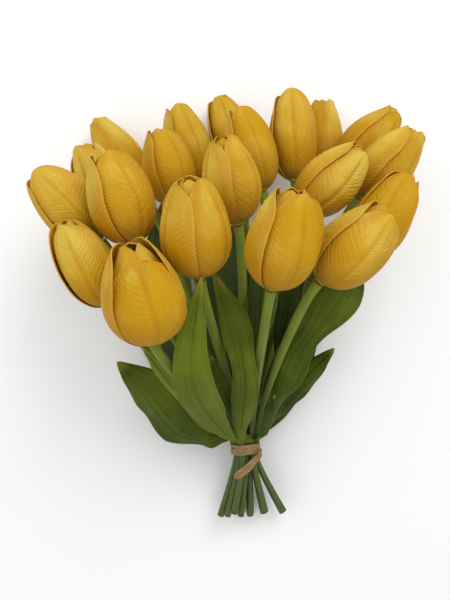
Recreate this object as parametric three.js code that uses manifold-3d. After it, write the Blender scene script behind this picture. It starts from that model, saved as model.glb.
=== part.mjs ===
// A bunch of twenty yellow tulips, tied with raffia and lying on its back.
//
// Millimetres, +Z up. The stems run along Y with the flower heads towards +Y. The hindmost
// heads and the cut ends of the lowest stems rest on Z = 0, and the origin is on that
// surface, under the middle of the bunch. Each tulip is a stem with a flower head of three
// outer and three inner petals; the broad leaves clasp the stems just above the tie.

import * as THREE from "three";
import { mergeVertices } from "three/addons/utils/BufferGeometryUtils.js";
import Module from "manifold-3d";

const wasm = await Module();
wasm.setup();

// ---------------------------------------------------------------- driving dimensions

const CLEARANCE = 0.3; // kept between pieces that touch

// How far up a head its belly is, how far above the head's base the outer petals start, the
// half angle of a petal at its belly, how fast it narrows and leans in above that, and how blunt
// its tip is. The inner petals are smaller by `nest`, sit higher on the receptacle by `raise`,
// and close the mouth to the share `closed` of it.
const PETAL = {
  thickness: 0.9, bellyAt: 0.42, start: 1.5, halfAngle: 57, narrowing: 3, leanIn: 2.1, blunt: 0.8,
};
const INNER = { nest: 0.83, raise: 2, closed: 0.9 };

// How much the petals differ: in bearing, in degrees, and in their lengths and mouths, as shares.
const UNEVEN = { bearing: 4, length: 0.05, mouth: 0.08 };
const RECEPTACLE = { foot: 3.3, waist: 5.5, shoulder: 5, height: 8.5, sides: 8 };

// A leaf's root: half its width, how tightly it bends round the bundle, how far above the tie it
// is, and how far it runs straight on. Then the shares of its length over which it widens,
// flattens and turns to face its own way, the reach of a notch, and how quick its waves are.
const LEAF = { thickness: 0.9, rootHalf: 3, clasp: 12, aboveTie: 1.5, straight: 3, columns: 4 };
const BLADE = { widens: 0.25, flattens: 0.3, turns: 0.4, notchReach: 0.13, waves: 9 };
const STEM = { neck: 3.3, waist: 2.35, foot: 2.7, sides: 6 };

// The tie's middle, the way the stems run through it (nose up by rise, and off +Y by swing),
// and how far its top leans forward for each millimetre up.
const TIE = { middle: [16, -116, 28], rise: 16, swing: -4, width: 9.5, askew: 0.4 };

// The raffia: the turns of the tie, with how far their ridges and the grooves between them
// stand off the stems, and the loose bight, which runs from one bearing and distance along the
// tie to another, is two strands wide and rises off the stems towards its end.
const WRAP = { turns: 3, ridge: 1.6, groove: 1, sides: 16 };
const BIGHT = {
  from: [38, -3], to: [120, -22], width: 3.2, thickness: 1.5, gap: 0.7, rise: 2.6, steps: 9, sides: 6,
};

// Stems inside the tie: rows of a honeycomb, the lowest row first.
const ROW_COUNTS = [2, 3, 4, 3, 4, 3, 2];

// The cut ends: how far behind the tie and beside its middle they lie, how much nearer to the
// tie they end for each millimetre up, how much wider and taller than in the tie they spread,
// how much more the ones on the right stray, and how deep a flat the lowest ones lie on.
const CUT = { behind: 64, beside: -3, slant: 0.36, spread: 2.2, stray: 0.3, lift: 1.1, flat: 0.4 };

// The shares of its line over which a stem keeps the tie's direction below the tie and above
// it, and the head's direction under the head.
const FAN = { cut: 0.15, start: 0.1, end: 0.15 };

// Where the design's own zero lies from the origin, so that the origin is under the middle.
const MIDDLE = [4.5, -5];

// One row per tulip. base is where the head sits on its stem, lean its angle from +Y towards
// +X, nod its angle above the surface, and turn how far its first outer petal is turned about
// the head's axis, from facing up towards the right of that axis. That petal is shorter by the
// share dip. slot is the stem's row and place in the tie.
const TULIPS = [
  { base: [-84, 40, 94], lean: -43, nod: 8, turn: 12, length: 63, belly: 18.6, gape: 0.38, slot: [4, 0] },
  { base: [-74, -4, 114], lean: -26, nod: 16, turn: -5, length: 62, belly: 17.6, gape: 0.42, slot: [5, 0] },
  {
    base: [-43, -26, 136], lean: -10, nod: 26, turn: 17, length: 66, belly: 24, gape: 0.4, slot: [6, 0],
    dip: 0.09,
  },
  { base: [-58, 35, 112], lean: -17, nod: 14, turn: 40, length: 62, belly: 20.5, gape: 0.38, slot: [4, 1] },
  { base: [-70, 51, 61], lean: -28, nod: 6, turn: -30, length: 70, belly: 19, gape: 0.42, slot: [3, 0] },
  { base: [-66, 88, 16.4], lean: -34, nod: 0, turn: 60, length: 70, belly: 17.5, gape: 0.38, slot: [2, 0] },
  { base: [-35, 67, 66], lean: -13, nod: 4, turn: 38, length: 58, belly: 18.5, gape: 0.4, slot: [2, 1] },
  { base: [-20, 88, 37], lean: -17, nod: 1, turn: 30, length: 64, belly: 17.5, gape: 0.38, slot: [1, 0] },
  { base: [-15, 13, 128], lean: -6, nod: 22, turn: 60, length: 64, belly: 21.5, gape: 0.42, slot: [5, 1] },
  { base: [12, 106, 16.2], lean: -17, nod: 0, turn: 0, length: 62, belly: 16.2, gape: 0.4, slot: [0, 0] },
  { base: [28, 79, 60], lean: -17, nod: 5, turn: 15, length: 64, belly: 17.3, gape: 0.36, slot: [2, 2] },
  { base: [9, 50, 96], lean: -11, nod: 12, turn: 60, length: 60, belly: 19.5, gape: 0.4, slot: [3, 1] },
  { base: [53, 88, 49], lean: -3, nod: 0, turn: -5, length: 71, belly: 18, gape: 0.44, slot: [1, 1] },
  { base: [78, 99, 16.1], lean: 0, nod: 0, turn: 60, length: 63, belly: 17, gape: 0.45, slot: [0, 1] },
  { base: [28, 6, 138], lean: 12, nod: 24, turn: 30, length: 64, belly: 21.3, gape: 0.46, slot: [5, 2] },
  { base: [50, 60, 92], lean: 46, nod: 10, turn: 30, length: 60, belly: 18.5, gape: 0.36, slot: [4, 2] },
  { base: [87.5, 101, 42], lean: 45, nod: 2, turn: 40, length: 62, belly: 16.5, gape: 0.36, slot: [1, 2] },
  { base: [95.5, 73, 68], lean: 40, nod: 8, turn: 55, length: 63, belly: 19, gape: 0.38, slot: [2, 3] },
  { base: [91, 27, 96], lean: 28, nod: 12, turn: -18, length: 64, belly: 18.6, gape: 0.38, slot: [3, 2] },
  { base: [59, 11, 122], lean: 42, nod: 18, turn: 22, length: 62, belly: 20.5, gape: 0.45, slot: [4, 3] },
];

// One entry per leaf. It starts against the bundle just above the tie at the bearing `around`
// (0 to the right, 90 up), or clasps the stem of tulip `on` at a share `at` of the way up, and
// its midrib runs through `path` to its tip. face is the bearing that its outer face looks
// towards at the middle and at the tip, fold the half angle of its channel, and wave the depth
// of its edge's waves. It is broadest at broadAt, a higher taper slims it below that, and a
// notch draws its edges in round one place by a share.
const LEAVES = [
  {
    name: "left_broad", around: 180,
    path: [[-13, -108, 30], [-33, -98, 38], [-55, -70, 47], [-80, -46, 57]],
    face: [110, 95], halfWidth: 23, broadAt: 0.46, fold: 35, wave: 1.8, taper: 0.9,
  },
  {
    name: "left_back", around: 143,
    path: [[-3, -103, 48], [-20, -80, 68], [-38, -56, 87], [-56, -30, 103]],
    face: [125, 118], halfWidth: 9, broadAt: 0.6, fold: 25, wave: 0.8,
  },
  {
    name: "left_low", around: 207,
    path: [[-12, -100, 22], [-38, -74, 20], [-54, -36, 20]],
    face: [240, 250], halfWidth: 12, broadAt: 0.5, fold: 25, wave: 1,
  },
  {
    name: "front_tall", around: 105,
    path: [[6, -102, 61], [-9, -80, 95], [-18, -58, 122], [-21, -36, 135], [-14, 14, 144]],
    face: [92, 90], halfWidth: 13, broadAt: 0.52, fold: 20, wave: 1, taper: 1.5,
  },
  {
    name: "front_middle", around: 79,
    path: [[13, -100, 59], [12, -82, 77.5], [14, -60, 95], [12, -42, 106], [7, -18, 109], [-6, 16, 110]],
    face: [90, 90], halfWidth: 11.5, broadAt: 0.68, fold: 15, wave: 1, notch: [0.6, 0.3],
  },
  {
    name: "front_curly", on: 9, at: 0.27, around: 120,
    path: [[3.5, -74, 71.5], [-3.5, -54, 88.5], [-9, -37, 102]],
    face: [80, 60], halfWidth: 4.5, broadAt: 0.6, fold: 35, wave: 1,
  },
  {
    name: "front_small", around: 54,
    path: [[27.3, -102, 53], [30.4, -86, 67], [34.4, -66, 83]],
    face: [75, 80], halfWidth: 4.5, broadAt: 0.4, fold: 30, wave: 0.5,
  },
  {
    name: "right_broad", around: 26,
    path: [[32, -100, 43], [40, -68, 62], [49, -38, 79], [61, -18, 87], [74, 6, 96.5], [86, 32, 105]],
    face: [98, 92], halfWidth: 22, broadAt: 0.78, fold: 20, wave: 1.8, taper: 1.6, notch: [0.61, 0.5],
  },
  {
    name: "right_narrow", around: -5,
    path: [[34, -101, 30], [47, -74, 40], [66, -53, 46], [82, -36, 51]],
    face: [75, 100], halfWidth: 12, broadAt: 0.5, fold: 30, wave: 1,
  },
  {
    name: "right_low", around: 332,
    path: [[37, -99, 20], [54, -68, 19], [70, -25, 22]],
    face: [300, 285], halfWidth: 9, broadAt: 0.5, fold: 25, wave: 1,
  },
  {
    name: "inner_tall", on: 16, at: 0.12, around: 80,
    path: [[21, -80, 50], [22, -56, 66], [24, -10, 84], [25, 20, 81], [26, 68, 74]],
    face: [85, 70], halfWidth: 8, broadAt: 0.6, fold: 20, wave: 0.8,
  },
  {
    name: "inner_right", on: 18, at: 0.35, around: 85,
    path: [[42, -30, 54], [47, 0, 66], [52, 45, 80]],
    face: [85, 80], halfWidth: 9, broadAt: 0.6, fold: 20, wave: 0.8,
  },
  {
    name: "under_left", around: 233,
    path: [[-9, -93, 8], [-35, -58, 5], [-47, -10, 6], [-50, 35, 7], [-51, 82, 9]],
    face: [270, 268], halfWidth: 20, broadAt: 0.6, fold: 20, wave: 0.5,
  },
  {
    name: "under_middle", around: 270,
    path: [[15, -90, 7], [11, -45, 4], [8, 5, 4], [10, 66, 5]],
    face: [270, 270], halfWidth: 28, broadAt: 0.6, fold: 20, wave: 0.5,
  },
  {
    name: "under_right", around: 306,
    path: [[36, -92, 8], [51, -55, 6], [60, -10, 8], [70, 45, 9]],
    face: [270, 272], halfWidth: 17.5, broadAt: 0.55, fold: 20, wave: 0.5,
  },
  {
    name: "inner_left", on: 12, at: 0.3, around: 270,
    path: [[13, -46, 49], [11, -22, 55], [10, 6, 61], [11, 36, 68], [12, 60, 71]],
    face: [270, 270], halfWidth: 14, broadAt: 0.6, fold: 15, wave: 0.8,
  },
];

// ---------------------------------------------------------------- vectors and solids

const RAD = Math.PI / 180;
const vec = (p) => new THREE.Vector3(...p);
const mix = THREE.MathUtils.lerp;
const smooth = (x) => THREE.MathUtils.smoothstep(x, 0, 1);

// The unit vector that leans from +Y towards +X and nods up from the surface.
function aim(lean, nod) {
  return new THREE.Vector3(
    Math.sin(lean * RAD) * Math.cos(nod * RAD),
    Math.cos(lean * RAD) * Math.cos(nod * RAD),
    Math.sin(nod * RAD),
  );
}

// A right-handed frame whose third axis is `along` and whose second is as near +Z as it can
// be, so that its first points to the left of `along`, seen from above.
function frameAlong(along) {
  const up = new THREE.Vector3(0, 0, 1).addScaledVector(along, -along.z).normalize();
  const across = new THREE.Vector3().crossVectors(up, along);
  return new THREE.Matrix4().makeBasis(across, up, along);
}

// A number in 0..1 that looks random and is the same every time.
function scatter(a, b) {
  const x = Math.sin(a * 12.9898 + b * 78.233) * 43758.5453;
  return x - Math.floor(x);
}

// A closed BufferGeometry as a manifold-3d solid.
function solidOf(geometry) {
  const bare = new THREE.BufferGeometry().setAttribute("position", geometry.getAttribute("position"));
  bare.setIndex(geometry.index);
  const merged = mergeVertices(geometry.index ? bare.toNonIndexed() : bare, 1e-4);
  return new wasm.Manifold(
    new wasm.Mesh({
      numProp: 3,
      vertProperties: new Float32Array(merged.attributes.position.array),
      triVerts: new Uint32Array(merged.index.array),
    }),
  );
}

// A solid back as a BufferGeometry, with flat facets.
function geometryOf(solid) {
  const { numProp, numVert, vertProperties, triVerts } = solid.getMesh();
  const positions = new Float32Array(numVert * 3);
  for (let i = 0; i < numVert; i++)
    positions.set(vertProperties.subarray(i * numProp, i * numProp + 3), i * 3);
  const geometry = new THREE.BufferGeometry();
  geometry.setAttribute("position", new THREE.BufferAttribute(positions, 3));
  geometry.setIndex(new THREE.BufferAttribute(new Uint32Array(triVerts), 1));
  geometry.computeVertexNormals();
  return geometry;
}

// A closed surface from loops of points, all of one length, joined in turn and capped.
function loftedSolid(loops) {
  const sides = loops[0].length;
  const positions = loops.flat().flatMap((p) => p.toArray());
  const index = [];
  for (let k = 0; k + 1 < loops.length; k++)
    for (let i = 0; i < sides; i++) {
      const a = k * sides + i;
      const b = k * sides + ((i + 1) % sides);
      index.push(a, b, b + sides, a, b + sides, a + sides);
    }
  const last = (loops.length - 1) * sides;
  for (let i = 1; i + 1 < sides; i++) index.push(0, i + 1, i, last, last + i, last + i + 1);
  const geometry = new THREE.BufferGeometry();
  geometry.setAttribute("position", new THREE.Float32BufferAttribute(positions, 3));
  geometry.setIndex(index);
  return solidOf(geometry);
}

// A thin blade round the surface at(s, t), s from root to tip and t from -1 to 1 across.
// It comes to a point at the tip, and both faces are split into triangles alike.
function bladeSolid(at, thickness, rowsAt, columns) {
  const step = 1e-3;
  const normalAt = (s, t) => {
    const s0 = THREE.MathUtils.clamp(s, step, 1 - 2 * step);
    const along = at(s0 + step, t).sub(at(s0 - step, t));
    const across = at(s0, t + step).sub(at(s0, t - step));
    return along.cross(across).normalize();
  };
  const positions = [];
  const put = (p) => positions.push(...p.toArray()) / 3 - 1;
  const grid = rowsAt.map((s, row) => {
    const count = row + 1 === rowsAt.length ? 0 : columns;
    return Array.from({ length: count + 1 }, (_, i) => {
      const t = count ? (2 * i) / count - 1 : 0;
      const middle = at(s, t);
      const lift = normalAt(s, t).multiplyScalar(thickness / 2);
      return { face: put(middle.clone().add(lift)), back: put(middle.clone().sub(lift)) };
    });
  });
  const index = [];
  const both = (a, b, c) => index.push(a.face, c.face, b.face, a.back, b.back, c.back);
  const wall = (a, b) => index.push(a.face, b.face, b.back, a.face, b.back, a.back);
  const tip = grid.at(-1)[0];
  for (let k = 0; k + 2 < grid.length; k++)
    for (let i = 0; i < columns; i++) {
      const [a, b, c, d] = [grid[k][i], grid[k][i + 1], grid[k + 1][i + 1], grid[k + 1][i]];
      const split = i < columns / 2 ? [[a, b, c], [a, c, d]] : [[a, b, d], [b, c, d]];
      for (const corners of split) both(...corners);
    }
  for (let i = 0; i < columns; i++) both(grid.at(-2)[i], grid.at(-2)[i + 1], tip);
  for (let k = 0; k + 2 < grid.length; k++) {
    wall(grid[k + 1][0], grid[k][0]);
    wall(grid[k][columns], grid[k + 1][columns]);
  }
  wall(tip, grid.at(-2)[0]);
  wall(grid.at(-2)[columns], tip);
  for (let i = 0; i < columns; i++) wall(grid[0][i], grid[0][i + 1]);
  const geometry = new THREE.BufferGeometry();
  geometry.setAttribute("position", new THREE.Float32BufferAttribute(positions, 3));
  geometry.setIndex(index);
  const made = solidOf(geometry);
  if (made.volume() > 0) return made;
  geometry.setIndex(index.map((_, i) => index[i - (i % 3) + 2 - (i % 3)]));
  return solidOf(geometry);
}

// ---------------------------------------------------------------- flower heads

const OUTER_ROWS = [0.05, 0.22, 0.45, 0.7, 0.9, 1];
const INNER_ROWS = [0.05, 0.35, 0.72, 1];
const BELLY_ROW = 0.45; // the share of a petal's rows that lies below its belly
const OUTER_FLAT = 1.35; // how much flatter than the cup an outer petal is at its tip
const INNER_FLAT = 1.1; // and an inner one

// A head's cup against s from root to tip: its radius as a share of the belly, and its height
// as a share of the length. A quarter ellipse up to the belly, then drawn in to the mouth.
function cupAt(s, gape) {
  if (s < BELLY_ROW) {
    const angle = (s / BELLY_ROW) * (Math.PI / 2);
    return [Math.sin(angle), PETAL.bellyAt * (1 - Math.cos(angle))];
  }
  const u = (s - BELLY_ROW) / (1 - BELLY_ROW);
  return [1 - (1 - gape) * u ** PETAL.leanIn, mix(PETAL.bellyAt, 1, u)];
}

// The middle surface of one petal in its head's frame, where the head's axis is +Z.
function petalSurface(tulip, inner, k) {
  const seed = TULIPS.indexOf(tulip) * 6 + (inner ? 3 : 0) + k;
  const bearing = (k * 120 + (inner ? 60 : 0) + UNEVEN.bearing * (scatter(seed, 1) - 0.5)) * RAD;
  const belly = tulip.belly * (inner ? INNER.nest : 1);
  const raise = PETAL.start + (inner ? INNER.raise : 0);
  const dip = k === 0 && !inner ? (tulip.dip ?? 0) : 0;
  const reach = tulip.length * (1 - UNEVEN.length * scatter(seed, 3) - dip) - raise;
  const gape = (tulip.gape + UNEVEN.mouth * (scatter(seed, 4) - 0.5)) * (inner ? INNER.closed : 1);
  return (s, t) => {
    const [cup, height] = cupAt(s, gape);
    const u = Math.max(0, (s - BELLY_ROW) / (1 - BELLY_ROW));
    const arc = PETAL.halfAngle * RAD * (u > 0 ? (1 - u ** PETAL.narrowing) ** PETAL.blunt : cup);
    const roundness = cup * mix(1, inner ? INNER_FLAT : OUTER_FLAT, u);
    const angle = (arc * t) / roundness;
    const out = belly * (cup - roundness * (1 - Math.cos(angle)));
    const aside = belly * roundness * Math.sin(angle);
    return new THREE.Vector3(
      aside * Math.cos(bearing) + out * Math.sin(bearing),
      out * Math.cos(bearing) - aside * Math.sin(bearing),
      raise + reach * height,
    );
  };
}

// Three outer and three inner petals on their receptacle, fused. The first outer petal faces
// +Y of the head's frame.
function headSolid(tulip) {
  const { foot, waist, shoulder, height, sides } = RECEPTACLE;
  const profile = [[0, 0], [foot, 0], [waist, 1.6], [waist, shoulder], [foot, height - 1], [0, height]];
  const points = profile.map((p) => new THREE.Vector2(...p));
  const pieces = [solidOf(new THREE.LatheGeometry(points, sides).rotateX(Math.PI / 2))];
  for (let k = 0; k < 3; k++) {
    pieces.push(bladeSolid(petalSurface(tulip, false, k), PETAL.thickness, OUTER_ROWS, 3));
    pieces.push(bladeSolid(petalSurface(tulip, true, k), PETAL.thickness, INNER_ROWS, 2));
  }
  return wasm.Manifold.union(pieces);
}

// The head's place: its frame's +Z along its axis, and +Y turned from facing up.
function headPlace(tulip) {
  const place = frameAlong(aim(tulip.lean, tulip.nod));
  place.multiply(new THREE.Matrix4().makeRotationZ(tulip.turn * RAD));
  return place.setPosition(vec(tulip.base));
}

// ---------------------------------------------------------------- stems

const TIE_AXIS = aim(TIE.swing, TIE.rise);
const PITCH = 2 * STEM.waist + CLEARANCE;

// A stem's place in the tie's own frame: across it and up it.
function slotOffset([row, place]) {
  const middleRow = (ROW_COUNTS.length - 1) / 2;
  return [
    (place - (ROW_COUNTS[row] - 1) / 2) * PITCH,
    (row - middleRow) * PITCH * Math.sin(60 * RAD),
  ];
}

// A point by its distance across the tie towards +X, up it and along it from its middle plane.
function tiePoint(across, up, along) {
  return new THREE.Vector3(-across, up, along + TIE.askew * up).applyMatrix4(
    frameAlong(TIE_AXIS).setPosition(vec(TIE.middle)),
  );
}

// The stem's middle line, from the cut end through the tie to the head.
function stemCurve(tulip) {
  const [across, up] = slotOffset(tulip.slot);
  const below = tiePoint(across, up, -TIE.width / 2 - 2);
  const above = tiePoint(across, up, TIE.width / 2 + 2);
  const seed = TULIPS.indexOf(tulip);
  const [row] = tulip.slot;
  const height = STEM.foot - CUT.flat + row * PITCH * CUT.lift;
  const cut = new THREE.Vector3(
    TIE.middle[0] + CUT.beside + across * CUT.spread + CUT.stray * Math.max(0, across) ** 2,
    TIE.middle[1] - CUT.behind + CUT.slant * height + 4 * scatter(seed, 7),
    height,
  );
  const axis = aim(tulip.lean, tulip.nod);
  const base = vec(tulip.base).addScaledVector(axis, -CLEARANCE);
  const curve = new THREE.CurvePath();
  const bend = below.clone().addScaledVector(TIE_AXIS, -cut.distanceTo(below) * FAN.cut);
  curve.add(new THREE.QuadraticBezierCurve3(cut, bend, below));
  curve.add(new THREE.LineCurve3(below, above));
  const span = base.distanceTo(above);
  curve.add(
    new THREE.CubicBezierCurve3(
      above,
      above.clone().addScaledVector(TIE_AXIS, span * FAN.start),
      base.clone().addScaledVector(axis, -span * FAN.end),
      base,
    ),
  );
  return curve;
}

// The radius of a stem at a share of the way from the tie to its head.
const stemRadius = (share) => mix(STEM.waist, STEM.neck, smooth((share - 0.15) / 0.65));

const NECK_STATIONS = [0.15, 0.35, 0.55, 0.8, 1];

// Rings of points square to each of the curve's parts, joined to one solid.
function stemSolid(tulip) {
  const [lower, middle, upper] = stemCurve(tulip).curves;
  const stations = [
    [lower, 0, STEM.foot],
    [lower, 0.5, mix(STEM.foot, STEM.waist, 0.5)],
    [middle, 0, STEM.waist],
    [middle, 1, STEM.waist],
    ...NECK_STATIONS.map((share) => [upper, share, stemRadius(share)]),
  ];
  const loops = stations.map(([curve, at, radius]) => {
    const frame = frameAlong(curve.getTangent(at)).setPosition(curve.getPoint(at));
    return Array.from({ length: STEM.sides }, (_, i) => {
      const angle = ((i + 0.5) / STEM.sides) * 2 * Math.PI;
      return new THREE.Vector3(radius * Math.cos(angle), radius * Math.sin(angle), 0).applyMatrix4(frame);
    });
  });
  return loftedSolid(loops);
}

// ---------------------------------------------------------------- leaves

const LEAF_ROWS = [0, 0.1, 0.22, 0.36, 0.52, 0.68, 0.84, 1];

// How far the bundle of stems in the tie reaches from its middle, square to a bearing.
function bundleReach(bearing) {
  const reaches = TULIPS.map(({ slot }) => {
    const [across, up] = slotOffset(slot);
    return across * Math.cos(bearing) + up * Math.sin(bearing);
  });
  return Math.max(...reaches) + STEM.waist;
}

// The corners, across and up, of the tight outline round the bundle, set off by `offset`.
function bundleOutline(offset, sides) {
  const step = (2 * Math.PI) / sides;
  return Array.from({ length: sides }, (_, i) => {
    const [a, b] = [bundleReach(i * step) + offset, bundleReach((i + 1) * step) + offset];
    const angle = i * step;
    const along = (b - a * Math.cos(step)) / Math.sin(step);
    return [a * Math.cos(angle) - along * Math.sin(angle), a * Math.sin(angle) + along * Math.cos(angle)];
  });
}

// Where a ray from the bundle's middle at a bearing leaves that outline.
function outlineRadius(bearing, offset) {
  const corners = bundleOutline(offset, 24);
  const [x, y] = [Math.cos(bearing), Math.sin(bearing)];
  const cuts = corners.map(([x0, y0], i) => {
    const [x1, y1] = corners[(i + 1) % corners.length];
    const cross = (x1 - x0) * y - (y1 - y0) * x;
    const share = (y0 * x - x0 * y) / cross;
    const [px, py] = [x0 + share * (x1 - x0), y0 + share * (y1 - y0)];
    return share >= 0 && share <= 1 && px * x + py * y > 0 ? Math.hypot(px, py) : 0;
  });
  return Math.max(...cuts);
}

// A leaf's root: its first point, and how sharply the blade bends round what it clasps.
function leafRoot(leaf) {
  const bearing = leaf.around * RAD;
  const offset = 2 * CLEARANCE + LEAF.thickness / 2;
  if (leaf.on) {
    const upper = stemCurve(TULIPS[leaf.on - 1]).curves[2];
    const radius = stemRadius(leaf.at) + offset;
    const outward = new THREE.Vector3(Math.cos(bearing), 0, Math.sin(bearing));
    const tangent = upper.getTangent(leaf.at);
    outward.addScaledVector(tangent, -outward.dot(tangent)).normalize();
    return { point: upper.getPoint(leaf.at).addScaledVector(outward, radius), tangent, radius };
  }
  const reach = outlineRadius(bearing, offset);
  const along = TIE.width / 2 + LEAF.aboveTie;
  const point = tiePoint(reach * Math.cos(bearing), reach * Math.sin(bearing), along);
  return { point, tangent: TIE_AXIS.clone(), radius: LEAF.clasp };
}

// The middle surface of a leaf: an arc across its midrib, drawn out along the midrib.
function leafSurface(leaf) {
  const root = leafRoot(leaf);
  const seed = LEAVES.indexOf(leaf);
  const start = root.point.clone().addScaledVector(root.tangent, LEAF.straight);
  const midrib = new THREE.CatmullRomCurve3([root.point, start, ...leaf.path.map(vec)]);
  const faceAt = (s) => {
    const [middle, tip] = leaf.face;
    const beyond = (s - BLADE.turns) / (1 - BLADE.turns);
    return (beyond < 0 ? mix(leaf.around, middle, smooth(s / BLADE.turns)) : mix(middle, tip, beyond)) * RAD;
  };
  const [notchAt, notch] = leaf.notch ?? [0, 0];
  const halfWidthAt = (s) => {
    const below = s < leaf.broadAt;
    const share = below ? s / leaf.broadAt / 2 : 0.5 + (s - leaf.broadAt) / (1 - leaf.broadAt) / 2;
    const full = leaf.halfWidth * Math.sin(Math.PI * share) ** (below ? (leaf.taper ?? 0.9) : 0.9);
    const drawnIn = 1 - notch * Math.exp(-(((s - notchAt) / BLADE.notchReach) ** 2));
    return mix(LEAF.rootHalf, full * drawnIn, smooth(s / BLADE.widens));
  };
  return (s, t) => {
    const along = midrib.getTangentAt(s);
    const outward = new THREE.Vector3(Math.cos(faceAt(s)), 0, Math.sin(faceAt(s)));
    outward.addScaledVector(along, -outward.dot(along)).normalize();
    const side = new THREE.Vector3().crossVectors(along, outward);
    const halfWidth = halfWidthAt(s);
    const flat = smooth(s / BLADE.flattens);
    const bend = mix(halfWidth / root.radius, leaf.fold * RAD, flat);
    const wave = leaf.wave * Math.sin(BLADE.waves * s + 2 * seed + (t > 0 ? 1.5 : 0)) * t * t * flat;
    return midrib
      .getPointAt(s)
      .addScaledVector(side, (halfWidth / bend) * Math.sin(bend * t))
      .addScaledVector(outward, (halfWidth / bend) * (Math.cos(bend * t) - 1) + wave);
  };
}

// ---------------------------------------------------------------- tie

// The turns of raffia drawn tight round the stems: a ridge to each turn.
function wrapSolid() {
  const half = TIE.width / 2;
  const ring = (offset, along) =>
    bundleOutline(CLEARANCE + offset, WRAP.sides).map(([across, up]) => tiePoint(across, up, along));
  const outer = Array.from({ length: 2 * WRAP.turns + 1 }, (_, i) =>
    ring(i % 2 ? WRAP.ridge : WRAP.groove, mix(half, -half, i / (2 * WRAP.turns))),
  );
  return loftedSolid(outer).subtract(loftedSolid([ring(0, half + 1), ring(0, -half - 1)]));
}

// The loose bight: a flat strand over the tie's front, round its end, and back beside itself.
function bightSolid() {
  const { from, to, width, thickness, gap, rise, steps, sides } = BIGHT;
  const place = (share, aside) => {
    const bearing = mix(from[0], to[0], share) * RAD;
    const along = mix(from[1], to[1], share) + aside;
    const overWrap = (WRAP.ridge + CLEARANCE) * smooth((along + TIE.width / 2 + 4) / 3);
    const reach = outlineRadius(bearing, 4 * CLEARANCE + thickness / 2 + overWrap + rise * share);
    return tiePoint(reach * Math.cos(bearing), reach * Math.sin(bearing), along);
  };
  const shares = Array.from({ length: steps }, (_, i) => (0.9 * i) / (steps - 1));
  const apart = (width + gap) / 2;
  const there = shares.map((share) => place(share, apart));
  const back = shares.map((share) => place(share, -apart)).reverse();
  const line = [...there, place(1, 0), ...back];
  const loops = line.map((point, i) => {
    const along = line[Math.min(i + 1, line.length - 1)].clone().sub(line[Math.max(i - 1, 0)]).normalize();
    const outward = point.clone().sub(vec(TIE.middle));
    outward.addScaledVector(TIE_AXIS, -outward.dot(TIE_AXIS));
    outward.addScaledVector(along, -outward.dot(along)).normalize();
    const side = new THREE.Vector3().crossVectors(outward, along);
    return Array.from({ length: sides }, (_, k) => {
      const angle = ((k + 0.5) / sides) * 2 * Math.PI;
      return point
        .clone()
        .addScaledVector(side, (width / 2) * Math.cos(angle))
        .addScaledVector(outward, (thickness / 2) * Math.sin(angle));
    });
  });
  return loftedSolid(loops);
}

// ---------------------------------------------------------------- the bunch

const bunch = new THREE.Group();
const petalYellow = new THREE.MeshStandardMaterial({ color: 0xd9a926, roughness: 0.55 });
const stemGreen = new THREE.MeshStandardMaterial({ color: 0x5f7a34, roughness: 0.6 });
const raffiaTan = new THREE.MeshStandardMaterial({ color: 0x9d7b50, roughness: 0.8 });
const leafGreen = new THREE.MeshStandardMaterial({ color: 0x4f651c, roughness: 0.6 });

// What lies below the surface is cut off, so that each piece there rests on a small flat.
const underground = solidOf(new THREE.BoxGeometry(600, 600, 40).translate(0, 0, -20));

function add(name, solid, material, place = new THREE.Matrix4()) {
  const ground = underground.transform(place.clone().invert().elements);
  const mesh = new THREE.Mesh(geometryOf(solid.subtract(ground)), material);
  mesh.name = name;
  mesh.applyMatrix4(place);
  bunch.add(mesh);
}

TULIPS.forEach((tulip, i) => {
  const number = String(i + 1).padStart(2, "0");
  add(`head_${number}`, headSolid(tulip), petalYellow, headPlace(tulip));
  add(`stem_${number}`, stemSolid(tulip), stemGreen);
});
for (const leaf of LEAVES) {
  const blade = bladeSolid(leafSurface(leaf), LEAF.thickness, LEAF_ROWS, LEAF.columns);
  add(`leaf_${leaf.name}`, blade, leafGreen);
}
add("tie_wrap", wrapSolid(), raffiaTan);
add("tie_loop", bightSolid(), raffiaTan);
bunch.position.set(-MIDDLE[0], -MIDDLE[1], 0);

export default bunch;
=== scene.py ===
"""A tied bunch of twenty yellow tulips, lying on its back.

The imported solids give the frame: metres, +Y from the cut ends to the blooms, +Z up
from the surface that the bunch lies on. Each bloom, stem, leaf and turn of raffia
here follows the line of its solid and stands for it, with the petals' creases and
wrinkles, the leaves' waves and the raffia's fibres added.

Driving sizes are in millimetres in the bunch's own design frame, whose zero lies
``MIDDLE`` away from the part's origin.
"""

from __future__ import annotations

import logging
import math
from contextlib import contextmanager
from dataclasses import dataclass
from enum import Enum
from functools import cached_property, reduce
from typing import Callable, Iterator

import bpy
import numpy as np
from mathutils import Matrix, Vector

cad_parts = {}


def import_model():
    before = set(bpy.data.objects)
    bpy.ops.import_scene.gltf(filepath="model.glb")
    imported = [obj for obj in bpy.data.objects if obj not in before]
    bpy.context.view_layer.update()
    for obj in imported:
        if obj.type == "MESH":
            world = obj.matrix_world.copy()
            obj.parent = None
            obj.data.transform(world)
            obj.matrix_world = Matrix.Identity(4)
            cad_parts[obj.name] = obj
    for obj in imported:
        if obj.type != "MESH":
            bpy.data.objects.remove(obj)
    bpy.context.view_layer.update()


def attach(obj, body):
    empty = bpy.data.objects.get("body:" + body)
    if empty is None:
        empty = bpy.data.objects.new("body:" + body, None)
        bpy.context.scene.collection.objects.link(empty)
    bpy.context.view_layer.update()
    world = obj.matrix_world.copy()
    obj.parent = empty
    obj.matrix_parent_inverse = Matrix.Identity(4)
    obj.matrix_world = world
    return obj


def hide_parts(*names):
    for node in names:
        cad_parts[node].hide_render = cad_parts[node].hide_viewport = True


log = logging.getLogger("tulips")

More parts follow.
